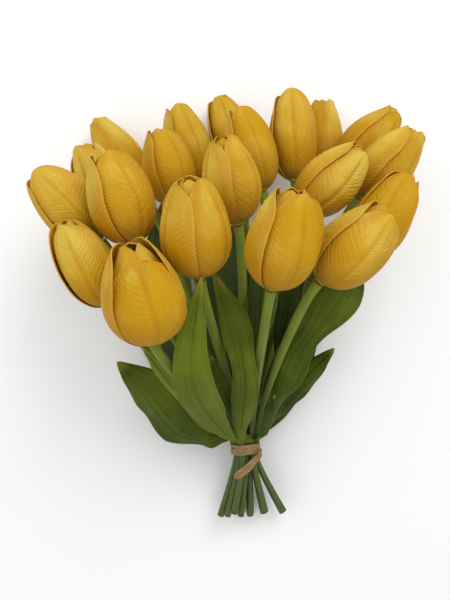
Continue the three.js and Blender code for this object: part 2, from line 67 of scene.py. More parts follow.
Array = np.ndarray
Surface = Callable[[Array, Array], Array]
Relief = Callable[[Array, Array], Array]
Piece = bpy.types.Object
Material = bpy.types.Material
Tree = bpy.types.NodeTree
Socket = bpy.types.NodeSocket

MM = 0.001
MIDDLE = np.array([4.5, -5.0, 0.0])  # the part's origin in the design frame
BODY = "root"
CLEARANCE = 0.3  # what neighbouring pieces stand off each other
FLOOR_GAP = 0.05  # what every piece stays above the surface
SMOOTH_ANGLE = math.radians(50)  # a sharper edge than this stays an edge


class Slot(Enum):
    """The record's material slots."""

    PETAL = "petal"
    STEM = "stem"
    LEAF = "leaf"
    RAFFIA = "raffia"


# ---------------------------------------------------------------- plain geometry


def vec(*parts: float) -> Array:
    """A vector of floats."""
    return np.array(parts, dtype=float)


def unit(vectors: Array) -> Array:
    """The vectors, each brought to length one."""
    return vectors / np.linalg.norm(vectors, axis=-1, keepdims=True)


def mix(low: float, high: float, share: Array | float) -> Array | float:
    """The value a share of the way from low to high."""
    return low + (high - low) * share


def smooth(x: Array | float) -> Array | float:
    """A soft step from 0 at x = 0 to 1 at x = 1."""
    x = np.clip(x, 0.0, 1.0)
    return x * x * (3 - 2 * x)


def bump_at(x: Array, middle: float, width: float) -> Array:
    """A bell of height one round a middle."""
    return np.exp(-(((x - middle) / width) ** 2))


def scatter(a: float, b: float) -> float:
    """A number in 0..1 that looks random and is the same every time."""
    stretched = math.sin(a * 12.9898 + b * 78.233) * 43758.5453
    return stretched - math.floor(stretched)


def aim(lean: float, nod: float) -> Array:
    """The unit vector that leans from +Y towards +X and nods up, in degrees."""
    lean, nod = math.radians(lean), math.radians(nod)
    return vec(math.sin(lean) * math.cos(nod), math.cos(lean) * math.cos(nod), math.sin(nod))


def frame_along(along: Array) -> Array:
    """A rotation whose third column is ``along`` and whose second is as near +Z as it can be."""
    up = unit(vec(0, 0, 1) - along * along[2])
    return np.column_stack([np.cross(up, along), up, along])


class Line:
    """A run of close points, measured by its own length."""

    NEAR = 0.01  # the share of the length that a tangent looks each way

    def __init__(self, points: Array) -> None:
        """Measures the run.

        Args:
            points: the points in order, in millimetres.
        """
        steps = np.linalg.norm(np.diff(points, axis=0), axis=1)
        self.points = points
        self.length = float(steps.sum())
        self.shares = np.concatenate([[0], np.cumsum(steps)]) / self.length

    def at(self, share: Array) -> Array:
        """The points at shares of the length."""
        return np.stack([np.interp(share, self.shares, self.points[:, i]) for i in range(3)], axis=-1)

    def direction(self, share: Array) -> Array:
        """The unit tangents at shares of the length."""
        low = np.clip(np.asarray(share) - self.NEAR, 0, 1 - 2 * self.NEAR)
        return unit(self.at(low + 2 * self.NEAR) - self.at(low))


def curve_through(points: list[Array], samples: int = 60) -> Line:
    """A smooth curve through points, as a centripetal Catmull-Rom spline.

    Args:
        points: the points, in millimetres.
        samples: how many points stand for each span.

    Returns:
        The curve.
    """
    spans = []
    t = np.arange(samples)[:, None] / samples
    for i, (start, end) in enumerate(zip(points, points[1:])):
        before = points[i - 1] if i > 0 else 2 * start - end
        after = points[i + 2] if i + 2 < len(points) else 2 * end - start
        first, middle, last = (
            math.sqrt(float(np.linalg.norm(b - a))) for a, b in ((before, start), (start, end), (end, after))
        )
        leaving = middle * ((start - before) / first - (end - before) / (first + middle)) + (end - start)
        arriving = middle * ((after - end) / last - (after - start) / (middle + last)) + (end - start)
        bent = (2 * (start - end) + leaving + arriving) * t**3
        spans.append(start + leaving * t + (3 * (end - start) - 2 * leaving - arriving) * t**2 + bent)
    return Line(np.concatenate([*spans, points[-1][None]]))


# ---------------------------------------------------------------- meshes


def chosen(piece: Piece) -> None:
    """Makes one object the only selected and active one.

    Args:
        piece: the object.
    """
    bpy.ops.object.select_all(action="DESELECT")
    piece.select_set(True)
    bpy.context.view_layer.objects.active = piece


@contextmanager
def edit_mode(first: str = "SELECT") -> Iterator[None]:
    """Edit mode on the active piece.

    Args:
        first: whether all of it is selected to start with, or none with DESELECT.

    Yields:
        Nothing, while the mode lasts.
    """
    bpy.ops.object.mode_set(mode="EDIT")
    bpy.ops.mesh.select_all(action=first)
    yield
    bpy.ops.object.mode_set(mode="OBJECT")


def placed(points: Array) -> Array:
    """Design millimetres as metres in the part's frame, no lower than the surface.

    Args:
        points: points of the design frame.

    Returns:
        The same points in metres.
    """
    above = points.copy()
    above[:, 2] = np.maximum(above[:, 2], FLOOR_GAP)
    return (above - MIDDLE) * MM


def grid(name: str, faces: tuple[int, int]) -> Piece:
    """A flat grid from -1 to 1 each way, with its own UV map, at the origin.

    Args:
        name: its name.
        faces: how many lie across it and how many up it.

    Returns:
        The grid.
    """
    bpy.ops.mesh.primitive_grid_add(x_subdivisions=faces[0], y_subdivisions=faces[1], size=2)
    piece = bpy.context.object
    piece.name = piece.data.name = name
    return piece


def grid_places(piece: Piece) -> tuple[Array, Array]:
    """Where the vertices of an untouched grid lie.

    Args:
        piece: the grid.

    Returns:
        Each vertex's share up (0..1) and across (-1..1).
    """
    flat = np.empty(3 * len(piece.data.vertices))
    piece.data.vertices.foreach_get("co", flat)
    flat = flat.reshape(-1, 3)
    return (flat[:, 1] + 1) / 2, flat[:, 0]


def move_vertices(piece: Piece, points: Array) -> None:
    """Puts a piece's vertices at points of the design frame, in millimetres."""
    piece.data.vertices.foreach_set("co", placed(points).ravel())
    piece.data.update()


def normals_of(surface: Surface, s: Array, t: Array) -> Array:
    """The unit normals of a surface, towards across x up.

    Args:
        surface: the surface.
        s: shares up it.
        t: places across it, from -1 to 1.

    Returns:
        The normals.
    """
    step = 1e-3
    low = np.clip(s, step, 1 - 2 * step)
    across = surface(low, t + step) - surface(low, t - step)
    return unit(np.cross(across, surface(low + step, t) - surface(low - step, t)))


def sheet(
    name: str,
    faces: tuple[int, int],
    surface: Surface,
    relief: Relief,
    thickness: float,
    first: float = 0.0,
    tone: float = 0.5,
    nested: float = 0.0,
) -> Piece:
    """A thin blade round a surface, with relief raised on its outer face.

    Args:
        name: the piece's name.
        faces: how many lie across it and how many from root to tip.
        surface: the blade's middle surface in the design frame, in millimetres.
        relief: how far the outer face is raised, in millimetres.
        thickness: in millimetres.
        first: the share up at which the blade starts.
        tone: how light it is among its like, 0 to 1.
        nested: 1 for a blade inside others.

    Returns:
        The blade, whose ``tint`` attribute also tells its inner face from its outer one.
    """
    piece = grid(name, faces)
    s, t = grid_places(piece)
    s = mix(first, 1.0, s)
    lift = thickness / 2 + relief(s, t)
    places = surface(s, t) + normals_of(surface, s, t) * lift[:, None]
    tip = np.isclose(s, 1.0)
    places[tip] = places[tip].mean(axis=0)
    move_vertices(piece, places)
    chosen(piece)
    weld()
    outer = len(piece.data.vertices)
    wall = piece.modifiers.new("blade", "SOLIDIFY")
    wall.thickness = thickness * MM
    wall.offset = -1
    bpy.ops.object.modifier_apply(modifier=wall.name)
    set_tint(piece, np.arange(len(piece.data.vertices)) >= outer, tone, nested)
    return piece


def weld(limit: float = 0.02) -> None:
    """Merges the active piece's vertices that lie within a limit in millimetres."""
    with edit_mode():
        bpy.ops.mesh.remove_doubles(threshold=limit * MM)


def face_outwards() -> None:
    """Turns the active piece's faces outwards."""
    with edit_mode():
        bpy.ops.mesh.normals_make_consistent(inside=False)


def cap_ends() -> None:
    """Closes the active piece's open rims with flat faces, which take its second material."""
    with edit_mode("DESELECT"):
        bpy.ops.mesh.select_non_manifold(extend=False)
        bpy.ops.mesh.fill_holes(sides=0)
    face_outwards()
    for face in bpy.context.object.data.polygons:
        face.material_index = 1 if len(face.vertices) > 4 else 0


def tube(name: str, faces: tuple[int, int], point: Surface) -> Piece:
    """A tube rolled from a grid.

    Args:
        name: the piece's name.
        faces: how many lie round it and how many along it.
        point: a point of its skin from the share along and the turn round, in radians.

    Returns:
        The tube, with open ends, or closed on itself where its first ring is its last.
    """
    piece = grid(name, faces)
    s, t = grid_places(piece)
    move_vertices(piece, point(s, math.pi * t))
    chosen(piece)
    weld()
    return piece


def set_tint(piece: Piece, inside: Array | float = 0.0, tone: float = 0.5, nested: float = 0.0) -> None:
    """Stores what a piece's material reads.

    Args:
        piece: the piece.
        inside: 1 where a vertex lies on the inner face.
        tone: how light the piece is among its like, 0 to 1.
        nested: 1 for a petal inside others.
    """
    values = np.ones((len(piece.data.vertices), 4))
    values[:, 0], values[:, 1], values[:, 2] = inside, tone, nested
    piece.data.color_attributes.new("tint", "FLOAT_COLOR", "POINT").data.foreach_set("color", values.ravel())


def joined(name: str, pieces: list[Piece]) -> Piece:
    """Several objects as one.

    Args:
        name: the whole's name.
        pieces: the objects.

    Returns:
        The whole.
    """
    bpy.ops.object.select_all(action="DESELECT")
    for piece in pieces:
        piece.select_set(True)
    bpy.context.view_layer.objects.active = pieces[0]
    bpy.ops.object.join()
    whole = bpy.context.object
    whole.name = whole.data.name = name
    return whole


def finish_piece(piece: Piece, node: str, materials: list[Material]) -> None:
    """Smooths and dresses a piece and lets it stand for its solid.

    Args:
        piece: the finished mesh.
        node: the solid that it stands for.
        materials: its materials, the main one first.
    """
    chosen(piece)
    bpy.ops.object.shade_smooth_by_angle(angle=SMOOTH_ANGLE)
    for material in materials:
        piece.data.materials.append(material)
    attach(piece, BODY)
    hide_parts(node)
    log.info("%s: %d faces", piece.name, len(piece.data.polygons))


# ---------------------------------------------------------------- shader groups


class Graph:
    """A node tree with short calls that add and wire its nodes."""

    def __init__(self, tree: Tree) -> None:
        """Empties the tree.

        Args:
            tree: a material's or a group's tree.
        """
        self.tree = tree
        tree.nodes.clear()

    def add(self, kind: str, inputs: dict | None = None, **settings: object) -> bpy.types.Node:
        """Adds a node.

        Args:
            kind: its type, without the ShaderNode at the front.
            inputs: constants or output sockets, by input name or number.
            settings: its own properties.

        Returns:
            The node.
        """
        node = self.tree.nodes.new("ShaderNode" + kind)
        for key, value in settings.items():
            setattr(node, key, value)
        for key, value in (inputs or {}).items():
            if isinstance(value, Socket):
                self.tree.links.new(value, node.inputs[key])
            else:
                node.inputs[key].default_value = value
        return node

    def math(self, operation: str, a: object, b: object = 0.0) -> Socket:
        """One arithmetic step."""
        return self.add("Math", {0: a, 1: b}, operation=operation).outputs[0]

    def scaled(self, value: object, factor: object) -> Socket:
        """A value times a factor."""
        return self.math("MULTIPLY", value, factor)

    def combined(self, operation: str, *values: object) -> Socket:
        """One arithmetic step taken over several values in turn."""
        return reduce(lambda first, second: self.math(operation, first, second), values)

    def left_of(self, value: object) -> Socket:
        """What a value leaves of 1."""
        return self.math("SUBTRACT", 1.0, value)

    def ramp(self, value: object, low: object, high: object) -> Socket:
        """A soft step from 0 to 1.

        Args:
            value: what the step is taken of.
            low: the value that gives 0.
            high: the value that gives 1.

        Returns:
            The step.
        """
        inputs = {"Value": value, "From Min": low, "From Max": high}
        return self.add("MapRange", inputs, interpolation_type="SMOOTHSTEP").outputs["Result"]

    def blend(self, share: object, a: object, b: object) -> Socket:
        """A colour a share of the way from one to another.

        Args:
            share: 0 for the first, 1 for the second.
            a: the first colour or its socket.
            b: the second.

        Returns:
            The colour.
        """
        node = self.add("Mix", {"Factor": share}, data_type="RGBA")
        for index, value in ((6, a), (7, b)):
            if isinstance(value, Socket):
                self.tree.links.new(value, node.inputs[index])
            else:
                node.inputs[index].default_value = (*value, 1.0)
        return node.outputs[2]

    def noise(self, vector: object, scale: object, detail: float = 3.0) -> Socket:
        """Cloudy noise in 0..1."""
        return self.add("TexNoise", {"Vector": vector, "Scale": scale, "Detail": detail}).outputs[0]

    def in_space(self) -> Socket:
        """The place in the part's frame, in metres."""
        return self.add("TexCoord").outputs["Object"]

    def on_blade(self, direction: str) -> Socket:
        """The share across a blade with X, or from its root to its tip with Y."""
        return self.add("SeparateXYZ", {0: self.add("UVMap").outputs[0]}).outputs[direction]

    def aside(self) -> Socket:
        """The distance from a blade's middle line, which is 0.5 at its edges."""
        return self.math("ABSOLUTE", self.math("SUBTRACT", self.on_blade("X"), 0.5))

    def tint(self) -> tuple[Socket, Socket, Socket]:
        """What is stored on a blade's vertices.

        Returns:
            Its inner face, its own tone, and whether it is nested.
        """
        stored = self.add("Attribute", attribute_name="tint").outputs["Color"]
        parts = self.add("SeparateColor", {0: stored}).outputs
        return parts[0], parts[1], parts[2]

    def bump(self, height: object, strength: float, depth: float) -> Socket:
        """The normal of a surface with a height on it, as deep as given in metres."""
        return self.add("Bump", {"Height": height, "Strength": strength, "Distance": depth}).outputs[0]

    def use(self, group: Tree, **values: float) -> Socket:
        """Puts a node group in the tree.

        Args:
            group: one of the shared groups.
            values: its inputs, where they differ from the defaults.

        Returns:
            Its output.
        """
        node = self.add("Group", node_tree=group)
        for label, value in values.items():
            node.inputs[label].default_value = value
        return node.outputs[0]


class Group(Graph):
    """A shader node group with number inputs and one number output."""

    def __init__(self, name: str, inputs: dict[str, float], output: str) -> None:
        """Makes the group.

        Args:
            name: its name.
            inputs: its inputs with their defaults.
            output: its output's name.
        """
        group = bpy.data.node_groups.new(name, "ShaderNodeTree")
        for label, value in inputs.items():
            socket = group.interface.new_socket(label, in_out="INPUT", socket_type="NodeSocketFloat")
            socket.default_value = value
        group.interface.new_socket(output, in_out="OUTPUT", socket_type="NodeSocketFloat")
        super().__init__(group)
        self.given = group.nodes.new("NodeGroupInput").outputs

    def closed(self, value: Socket) -> Tree:
        """Wires the group's output and returns the group."""
        self.tree.links.new(value, self.tree.nodes.new("NodeGroupOutput").inputs[0])
        return self.tree


class Effects:
    """The node groups that the materials share."""

    def __init__(self) -> None:
        """Builds the groups."""
        self.mottle = self._mottle()
        self.fibres = self._fibres()
        self.chevrons = self._chevrons()
        self.rim = self._rim()
        self.rib = self._rib()

    @staticmethod
    def _mottle() -> Tree:
        """Soft blotches that stay with the piece.

        Returns:
            The group.
        """
        group = Group("mottle", {"Scale": 60.0, "Low": 0.4, "High": 0.65}, "Mask")
        cloud = group.noise(group.in_space(), group.given["Scale"])
        return group.closed(group.ramp(cloud, group.given["Low"], group.given["High"]))

    @staticmethod
    def _fibres() -> Tree:
        """Fine lines along a piece's length, by its UV map.

        Returns:
            The group.
        """
        group = Group("fibres", {"Across": 40.0, "Along": 3.0}, "Height")
        stretch = group.add("CombineXYZ", {"X": group.given["Across"], "Y": group.given["Along"], "Z": 1.0})
        vectors = {0: group.add("UVMap").outputs[0], 1: stretch.outputs[0]}
        place = group.add("VectorMath", vectors, operation="MULTIPLY").outputs[0]
        return group.closed(group.noise(place, 1.0, 4.0))

    @staticmethod
    def _chevrons() -> Tree:
        """Fine wrinkles that rise from the middle of a blade towards its edges.

        Returns:
            The group.
        """
        group = Group("chevrons", {"Count": 26.0, "Slope": 14.0, "Waver": 2.5}, "Height")
        cloud = group.noise(group.in_space(), 90.0, 2.0)
        rise = group.scaled(group.on_blade("Y"), group.given["Count"])
        phase = group.math("SUBTRACT", rise, group.scaled(group.aside(), group.given["Slope"]))
        phase = group.math("ADD", phase, group.scaled(cloud, group.given["Waver"]))
        wave = group.math("SINE", group.scaled(phase, 2 * math.pi))
        return group.closed(group.math("MULTIPLY_ADD", wave, 0.5))

    @staticmethod
    def _rim() -> Tree:
        """1 along a blade's side edges, 0 from a width inwards.

        Returns:
            The group.
        """
        group = Group("rim", {"Width": 0.08}, "Mask")
        inner = group.math("SUBTRACT", 0.5, group.given["Width"])
        return group.closed(group.ramp(group.aside(), inner, 0.5))

    @staticmethod
    def _rib() -> Tree:
        """1 along a blade's midrib, 0 from a width outwards, fading towards the tip.

        Returns:
            The group.
        """
        group = Group("rib", {"Width": 0.02}, "Mask")
        near = group.left_of(group.math("DIVIDE", group.aside(), group.given["Width"]))
        faded = group.ramp(group.on_blade("Y"), 1.0, 0.7)
        return group.closed(group.scaled(group.math("MAXIMUM", near, 0.0), faded))


# ---------------------------------------------------------------- finishes

Colour = tuple[float, float, float]
Span = tuple[float, float]  # from and to; for a relief, its strength and its depth in metres


@dataclass(frozen=True)
class PetalFinish:
    """A satin petal: green at its root and warm yellow, with painted highlights and painted shade.

    The pale colour is a painted highlight along the rims, in patches and towards the tips; the
    deep colour is painted shade in the seams between petals, along the midrib crease and inside
    the cup; the shade colour is painted shade over the lower part of each petal, and the green
    at the root is darkened as painted shade too. Each wash is how strongly a colour lies over
    those before it, and each span is the stretch of the way from root to tip in which a change
    happens.
    """

    # root: the petal's green at its foot, darker there also as painted shade
    root: Colour = (0.20, 0.17, 0.02)
    # deep: the painted shade colour, laid in the seams, along the midrib crease and inside the cup
    deep: Colour = (0.45, 0.16, 0.004)
    # shade: the painted shade colour over the lower part of each petal
    shade: Colour = (0.39, 0.175, 0.006)
    warm: Colour = (0.52, 0.285, 0.003)
    # pale: the painted highlight colour
    pale: Colour = (0.64, 0.445, 0.06)
    lightens: Span = (0.2, 0.85)
    shaded: Span = (0.12, 0.55)
    green: Span = (0.02, 0.2)
    own_tone: float = 0.8
    veined: float = 0.9
    patched: float = 0.35
    seam_width: float = 0.34
    # the seam wash paints shade in the deep colour where the petals' edges overlap
    seam_shade: float = 0.4
    rim_width: float = 0.06
    # the rim wash paints a highlight in the pale colour along the petals' edges
    rim_wash: float = 0.3
    rib_width: float = 0.05
    # the rib wash paints shade in the deep colour along the midrib crease
    rib_shade: float = 0.45
    # the inside and nested washes paint shade in the deep colour inside the cup: on each petal's inner face and
    # on the inner petals
    inside_wash: float = 0.25
    nested_shade: float = 0.2
    shade_wash: float = 0.65
    root_green_and_shade: float = 0.85
    vein_height: float = 0.5
    wrinkle_height: float = 0.8
    relief: Span = (0.35, 0.0006)
    roughness: float = 0.6
    uneven: float = 0.12
    specular: float = 0.12
    glow: float = 0.08
    glow_reach: tuple[float, float, float] = (0.004, 0.002, 0.0005)

    def build(self, effects: Effects) -> Material:
        """Makes the material.

        Args:
            effects: the shared node groups.

        Returns:
            The material.
        """
        material, graph = new_material("petal")
        inside, tone, nested = graph.tint()
        up = graph.on_blade("Y")
        veins = graph.use(effects.fibres, Across=34.0, Along=1.6)
        patches = graph.use(effects.mottle, Scale=45.0)
        own = graph.scaled(graph.ramp(up, *self.lightens), graph.scaled(tone, self.own_tone))
        streaks = graph.scaled(graph.math("SUBTRACT", veins, 0.5), self.veined)
        # lit adds each petal's own random tone, rising towards its tip, to its veins and its mottle; the
        # warm-to-pale blend that it drives is partly real tone and partly painted highlight
        lit = graph.combined("ADD", own, streaks, graph.scaled(patches, self.patched))
        # painted shade inside the cup, on the inner faces and the inner petals
        hollow_shade = graph.scaled(inside, self.inside_wash), graph.scaled(nested, self.nested_shade)
        washes = (
            (graph.use(effects.rim, Width=self.seam_width), self.seam_shade, self.deep),
            (graph.use(effects.rim, Width=self.rim_width), self.rim_wash, self.pale),
            (graph.use(effects.rib, Width=self.rib_width), self.rib_shade, self.deep),
            (graph.math("MAXIMUM", *hollow_shade), 1.0, self.deep),
            (graph.left_of(graph.ramp(up, *self.shaded)), self.shade_wash, self.shade),
            (graph.left_of(graph.ramp(up, *self.green)), self.root_green_and_shade, self.root),
        )
        colour = graph.blend(graph.ramp(lit, 0.0, 1.0), self.warm, self.pale)
        for mask, strength, other in washes:
            colour = graph.blend(graph.scaled(mask, strength), colour, other)
        wrinkles = graph.scaled(graph.use(effects.chevrons), self.wrinkle_height)
        height = graph.math("ADD", graph.scaled(veins, self.vein_height), wrinkles)
        dull = graph.math("ADD", graph.scaled(patches, self.uneven), self.roughness - self.uneven / 2)
        inputs = {
            "Base Color": colour,
            "Roughness": dull,
            "Normal": graph.bump(height, *self.relief),
            "Specular IOR Level": self.specular,
            "Subsurface Weight": self.glow,
            "Subsurface Radius": self.glow_reach,
            "Subsurface Scale": 1.0,
        }
        finish_material(material, graph, inputs)
        return material


@dataclass(frozen=True)
class LeafFinish:
    """A satin leaf blade: olive green with lengthwise veins and a few yellowed spots, its green painted from a
    shade colour to a lit one.
    """

    # dark is the leaf's green painted in shade, lit its green painted in light
    dark: Colour = (0.028, 0.05, 0.002)
    lit: Colour = (0.13, 0.17, 0.006)
    dry: Colour = (0.32, 0.25, 0.03)
    bloom: Colour = (0.13, 0.18, 0.07)
    contrast: Span = (0.05, 1.15)
    withers: Span = (0.9, 1.0)
    own_tone: float = 0.9
    patched: float = 0.35
    veined: float = 1.1
    inside_wash: float = 0.35
    spot_wash: float = 0.3
    tip_wash: float = 0.7
    rim_wash: float = 0.25
    rim_width: float = 0.03
    roughness: float = 0.6
    uneven: float = 0.2
    specular: float = 0.16
    relief: Span = (0.5, 0.0005)

    def build(self, effects: Effects) -> Material:
        """Makes the material.

        Args:
            effects: the shared node groups.

        Returns:
            The material.
        """
        material, graph = new_material("leaf")
        inside, tone, _ = graph.tint()
        veins = graph.use(effects.fibres, Across=46.0, Along=0.8)
        patches = graph.use(effects.mottle, Scale=28.0, Low=0.35, High=0.7)
        spots = graph.use(effects.mottle, Scale=150.0, Low=0.68, High=0.76)
        rim = graph.use(effects.rim, Width=self.rim_width)
        tip = graph.ramp(graph.on_blade("Y"), *self.withers)
        streaks = graph.scaled(graph.math("SUBTRACT", veins, 0.5), self.veined)
        own = graph.scaled(tone, self.own_tone)
        share = graph.combined("ADD", own, graph.scaled(patches, self.patched), streaks)
        withered = (
            graph.scaled(spots, self.spot_wash),
            graph.scaled(tip, self.tip_wash),
            graph.scaled(rim, self.rim_wash),
        )
        # the blend from the shaded green to the lit one follows each leaf's tone, patches and veins: partly real
        # tone, partly painted light and shade
        colour = graph.blend(graph.ramp(share, *self.contrast), self.dark, self.lit)
        colour = graph.blend(graph.scaled(inside, self.inside_wash), colour, self.bloom)
        colour = graph.blend(graph.combined("MAXIMUM", *withered), colour, self.dry)
        inputs = {
            "Base Color": colour,
            "Roughness": graph.math("ADD", graph.scaled(veins, self.uneven), self.roughness - self.uneven / 2),
            "Normal": graph.bump(veins, *self.relief),
            "Specular IOR Level": self.specular,
        }
        finish_material(material, graph, inputs)
        return material


@dataclass(frozen=True)
class StemFinish:
    """A smooth stem, light green under the bloom and a darker blue green below the tie."""

    neck: Colour = (0.21, 0.27, 0.02)
    foot: Colour = (0.055, 0.095, 0.03)
    fresh: Span = (-0.13, 0.02)
    groove: float = 0.45
    fibre_wash: float = 0.5
    patch_wash: float = 0.2
    roughness: float = 0.5
    specular: float = 0.25
    relief: Span = (0.4, 0.0004)

    def build(self, effects: Effects) -> Material:
        """Makes the material.

        Args:
            effects: the shared node groups.

        Returns:
            The material.
        """
        material, graph = new_material("stem")
        place = graph.add("SeparateXYZ", {0: graph.in_space()})
        fibres = graph.use(effects.fibres, Across=22.0, Along=2.0)
        patches = graph.use(effects.mottle, Scale=45.0)
        colour = graph.blend(graph.ramp(place.outputs["Y"], *self.fresh), self.foot, self.neck)
        lines = graph.math("ADD", graph.scaled(fibres, self.fibre_wash), graph.scaled(patches, self.patch_wash))
        inputs = {
            "Base Color": graph.blend(lines, colour, tuple(self.groove * part for part in self.neck)),
            "Roughness": self.roughness,
            "Normal": graph.bump(fibres, *self.relief),
            "Specular IOR Level": self.specular,
        }
        finish_material(material, graph, inputs)
        return material


@dataclass(frozen=True)
class CutFinish:
    """The moist pale pith of a cut stem."""

    pith: Colour = (0.42, 0.47, 0.24)
    pore: Colour = (0.20, 0.27, 0.10)
    roughness: float = 0.35
    relief: Span = (0.3, 0.0002)

    def build(self, effects: Effects) -> Material:
        """Makes the material.

        Args:
            effects: the shared node groups.

        Returns:
            The material.
        """
        material, graph = new_material("cut_end")
        pores = graph.use(effects.mottle, Scale=900.0)
        inputs = {
            "Base Color": graph.blend(pores, self.pith, self.pore),
            "Roughness": self.roughness,
            "Normal": graph.bump(pores, *self.relief),
        }
        finish_material(material, graph, inputs)
        return material


@dataclass(frozen=True)
class RaffiaFinish:
    """Dry raffia: tan fibres, with painted shade in the grooves between them."""

    # groove: the painted shade colour, laid where the fibres' bump runs low
    groove: Colour = (0.13, 0.07, 0.03)
    fibre: Colour = (0.40, 0.265, 0.11)
    contrast: Span = (0.3, 0.68)
    patched: float = 0.15
    roughness: float = 0.75
    specular: float = 0.2
    relief: Span = (0.8, 0.0004)

    def build(self, effects: Effects) -> Material:
        """Makes the material.

        Args:
            effects: the shared node groups.

        Returns:
            The material.
        """
        material, graph = new_material("raffia")
        fibres = graph.use(effects.fibres, Across=26.0, Along=5.0)
        patches = graph.scaled(graph.use(effects.mottle, Scale=220.0), self.patched)
        share = graph.math("ADD", graph.ramp(fibres, *self.contrast), patches)
        inputs = {
            "Base Color": graph.blend(share, self.groove, self.fibre),
            "Roughness": self.roughness,
            "Normal": graph.bump(fibres, *self.relief),
            "Specular IOR Level": self.specular,
        }
        finish_material(material, graph, inputs)
        return material


@dataclass(frozen=True)
class FloorFinish:
    """A plain matt pale floor."""

    colour: Colour = (0.93, 0.93, 0.93)
    roughness: float = 0.9

    def build(self) -> Material:
        """Makes the material.

        Returns:
            The material.
        """
        material, graph = new_material("floor")
        finish_material(material, graph, {"Base Color": (*self.colour, 1.0), "Roughness": self.roughness})
        return material


def new_material(name: str) -> tuple[Material, Graph]:
    """A new material with an empty node graph.

    Args:
        name: its name.

    Returns:
        The material and its graph.
    """
    material = bpy.data.materials.new(name)
    material.use_nodes = True
    return material, Graph(material.node_tree)


def finish_material(material: Material, graph: Graph, inputs: dict) -> None:
    """Gives a material its shader and output.

    Args:
        material: the material; not used.
        graph: its graph.
        inputs: what the shader's sockets take.
    """
    shader = graph.add("BsdfPrincipled", inputs)
    graph.add("OutputMaterial", {"Surface": shader.outputs[0]})


@dataclass(frozen=True)
class Palette:
    """Every finish of the bunch."""

    petal: Material
    leaf: Material
    stem: Material
    cut: Material
    raffia: Material

    @classmethod
    def mixed(cls) -> Palette:
        """Builds the shared groups and then each material.

        Returns:
            The palette.
        """
        effects = Effects()
        finishes = (PetalFinish(), LeafFinish(), StemFinish(), CutFinish(), RaffiaFinish())
        return cls(*(finish.build(effects) for finish in finishes))


# ---------------------------------------------------------------- the bunch's plan


@dataclass(frozen=True)
class Tulip:
    """One tulip: where its head sits, how it points, its size, and its place in the tie.

    lean and nod aim its axis and turn is how far its first outer petal is turned about
    that axis from facing up, all in degrees.
    """

    base: tuple[float, float, float]
    lean: float
    nod: float
    turn: float
    length: float
    belly: float
    gape: float
    slot: tuple[int, int]
    dip: float = 0.0

    @property
    def number(self) -> int:
        """Its place in the list, from 0."""
        return TULIPS.index(self)

    @property
    def label(self) -> str:
        """Its number as its solids' names give it."""
        return f"{self.number + 1:02d}"

    @property
    def axis(self) -> Array:
        """The way the head points."""
        return aim(self.lean, self.nod)


TULIPS = [
    Tulip((-84, 40, 94), -43, 8, 12, 63, 18.6, 0.38, (4, 0)),
    Tulip((-74, -4, 114), -26, 16, -5, 62, 17.6, 0.42, (5, 0)),
    Tulip((-43, -26, 136), -10, 26, 17, 66, 24, 0.4, (6, 0), dip=0.09),
    Tulip((-58, 35, 112), -17, 14, 40, 62, 20.5, 0.38, (4, 1)),
    Tulip((-70, 51, 61), -28, 6, -30, 70, 19, 0.42, (3, 0)),
    Tulip((-66, 88, 16.4), -34, 0, 60, 70, 17.5, 0.38, (2, 0)),
    Tulip((-35, 67, 66), -13, 4, 38, 58, 18.5, 0.4, (2, 1)),
    Tulip((-20, 88, 37), -17, 1, 30, 64, 17.5, 0.38, (1, 0)),
    Tulip((-15, 13, 128), -6, 22, 60, 64, 21.5, 0.42, (5, 1)),
    Tulip((12, 106, 16.2), -17, 0, 0, 62, 16.2, 0.4, (0, 0)),
    Tulip((28, 79, 60), -17, 5, 15, 64, 17.3, 0.36, (2, 2)),
    Tulip((9, 50, 96), -11, 12, 60, 60, 19.5, 0.4, (3, 1)),
    Tulip((53, 88, 49), -3, 0, -5, 71, 18, 0.44, (1, 1)),
    Tulip((78, 99, 16.1), 0, 0, 60, 63, 17, 0.45, (0, 1)),
    Tulip((28, 6, 138), 12, 24, 30, 64, 21.3, 0.46, (5, 2)),
    Tulip((50, 60, 92), 46, 10, 30, 60, 18.5, 0.36, (4, 2)),
    Tulip((87.5, 101, 42), 45, 2, 40, 62, 16.5, 0.36, (1, 2)),
    Tulip((95.5, 73, 68), 40, 8, 55, 63, 19, 0.38, (2, 3)),
    Tulip((91, 27, 96), 28, 12, -18, 64, 18.6, 0.38, (3, 2)),
    Tulip((59, 11, 122), 42, 18, 22, 62, 20.5, 0.45, (4, 3)),
]


@dataclass(frozen=True)
class Leaf:
    """One leaf: where its root is, the way of its midrib, and the shape of its blade.

    face is which way its outer side looks half way up and at its tip, around is where it
    sits round the bundle, or round the stem of the tulip ``on``, ``at`` a share of the way
    up, and notch is where and how deeply its edges are drawn in.
    """

    name: str
    path: list[tuple[float, float, float]]
    face: tuple[float, float]
    around: float
    half_width: float
    broad_at: float
    fold: float
    wave: float
    on: int = 0
    at: float = 0.0
    taper: float = 0.9
    notch: tuple[float, float] = (0.0, 0.0)

    @property
    def number(self) -> int:
        """Its place in the list, from 0."""
        return LEAVES.index(self)

    @property
    def under(self) -> bool:
        """Whether it lies under the whole bunch."""
        return self.name.startswith("under")

    @property
    def shaded(self) -> bool:
        """Whether the bunch lies over it, so that its blade is painted in shade."""
        return self.under or self.name.startswith("inner")


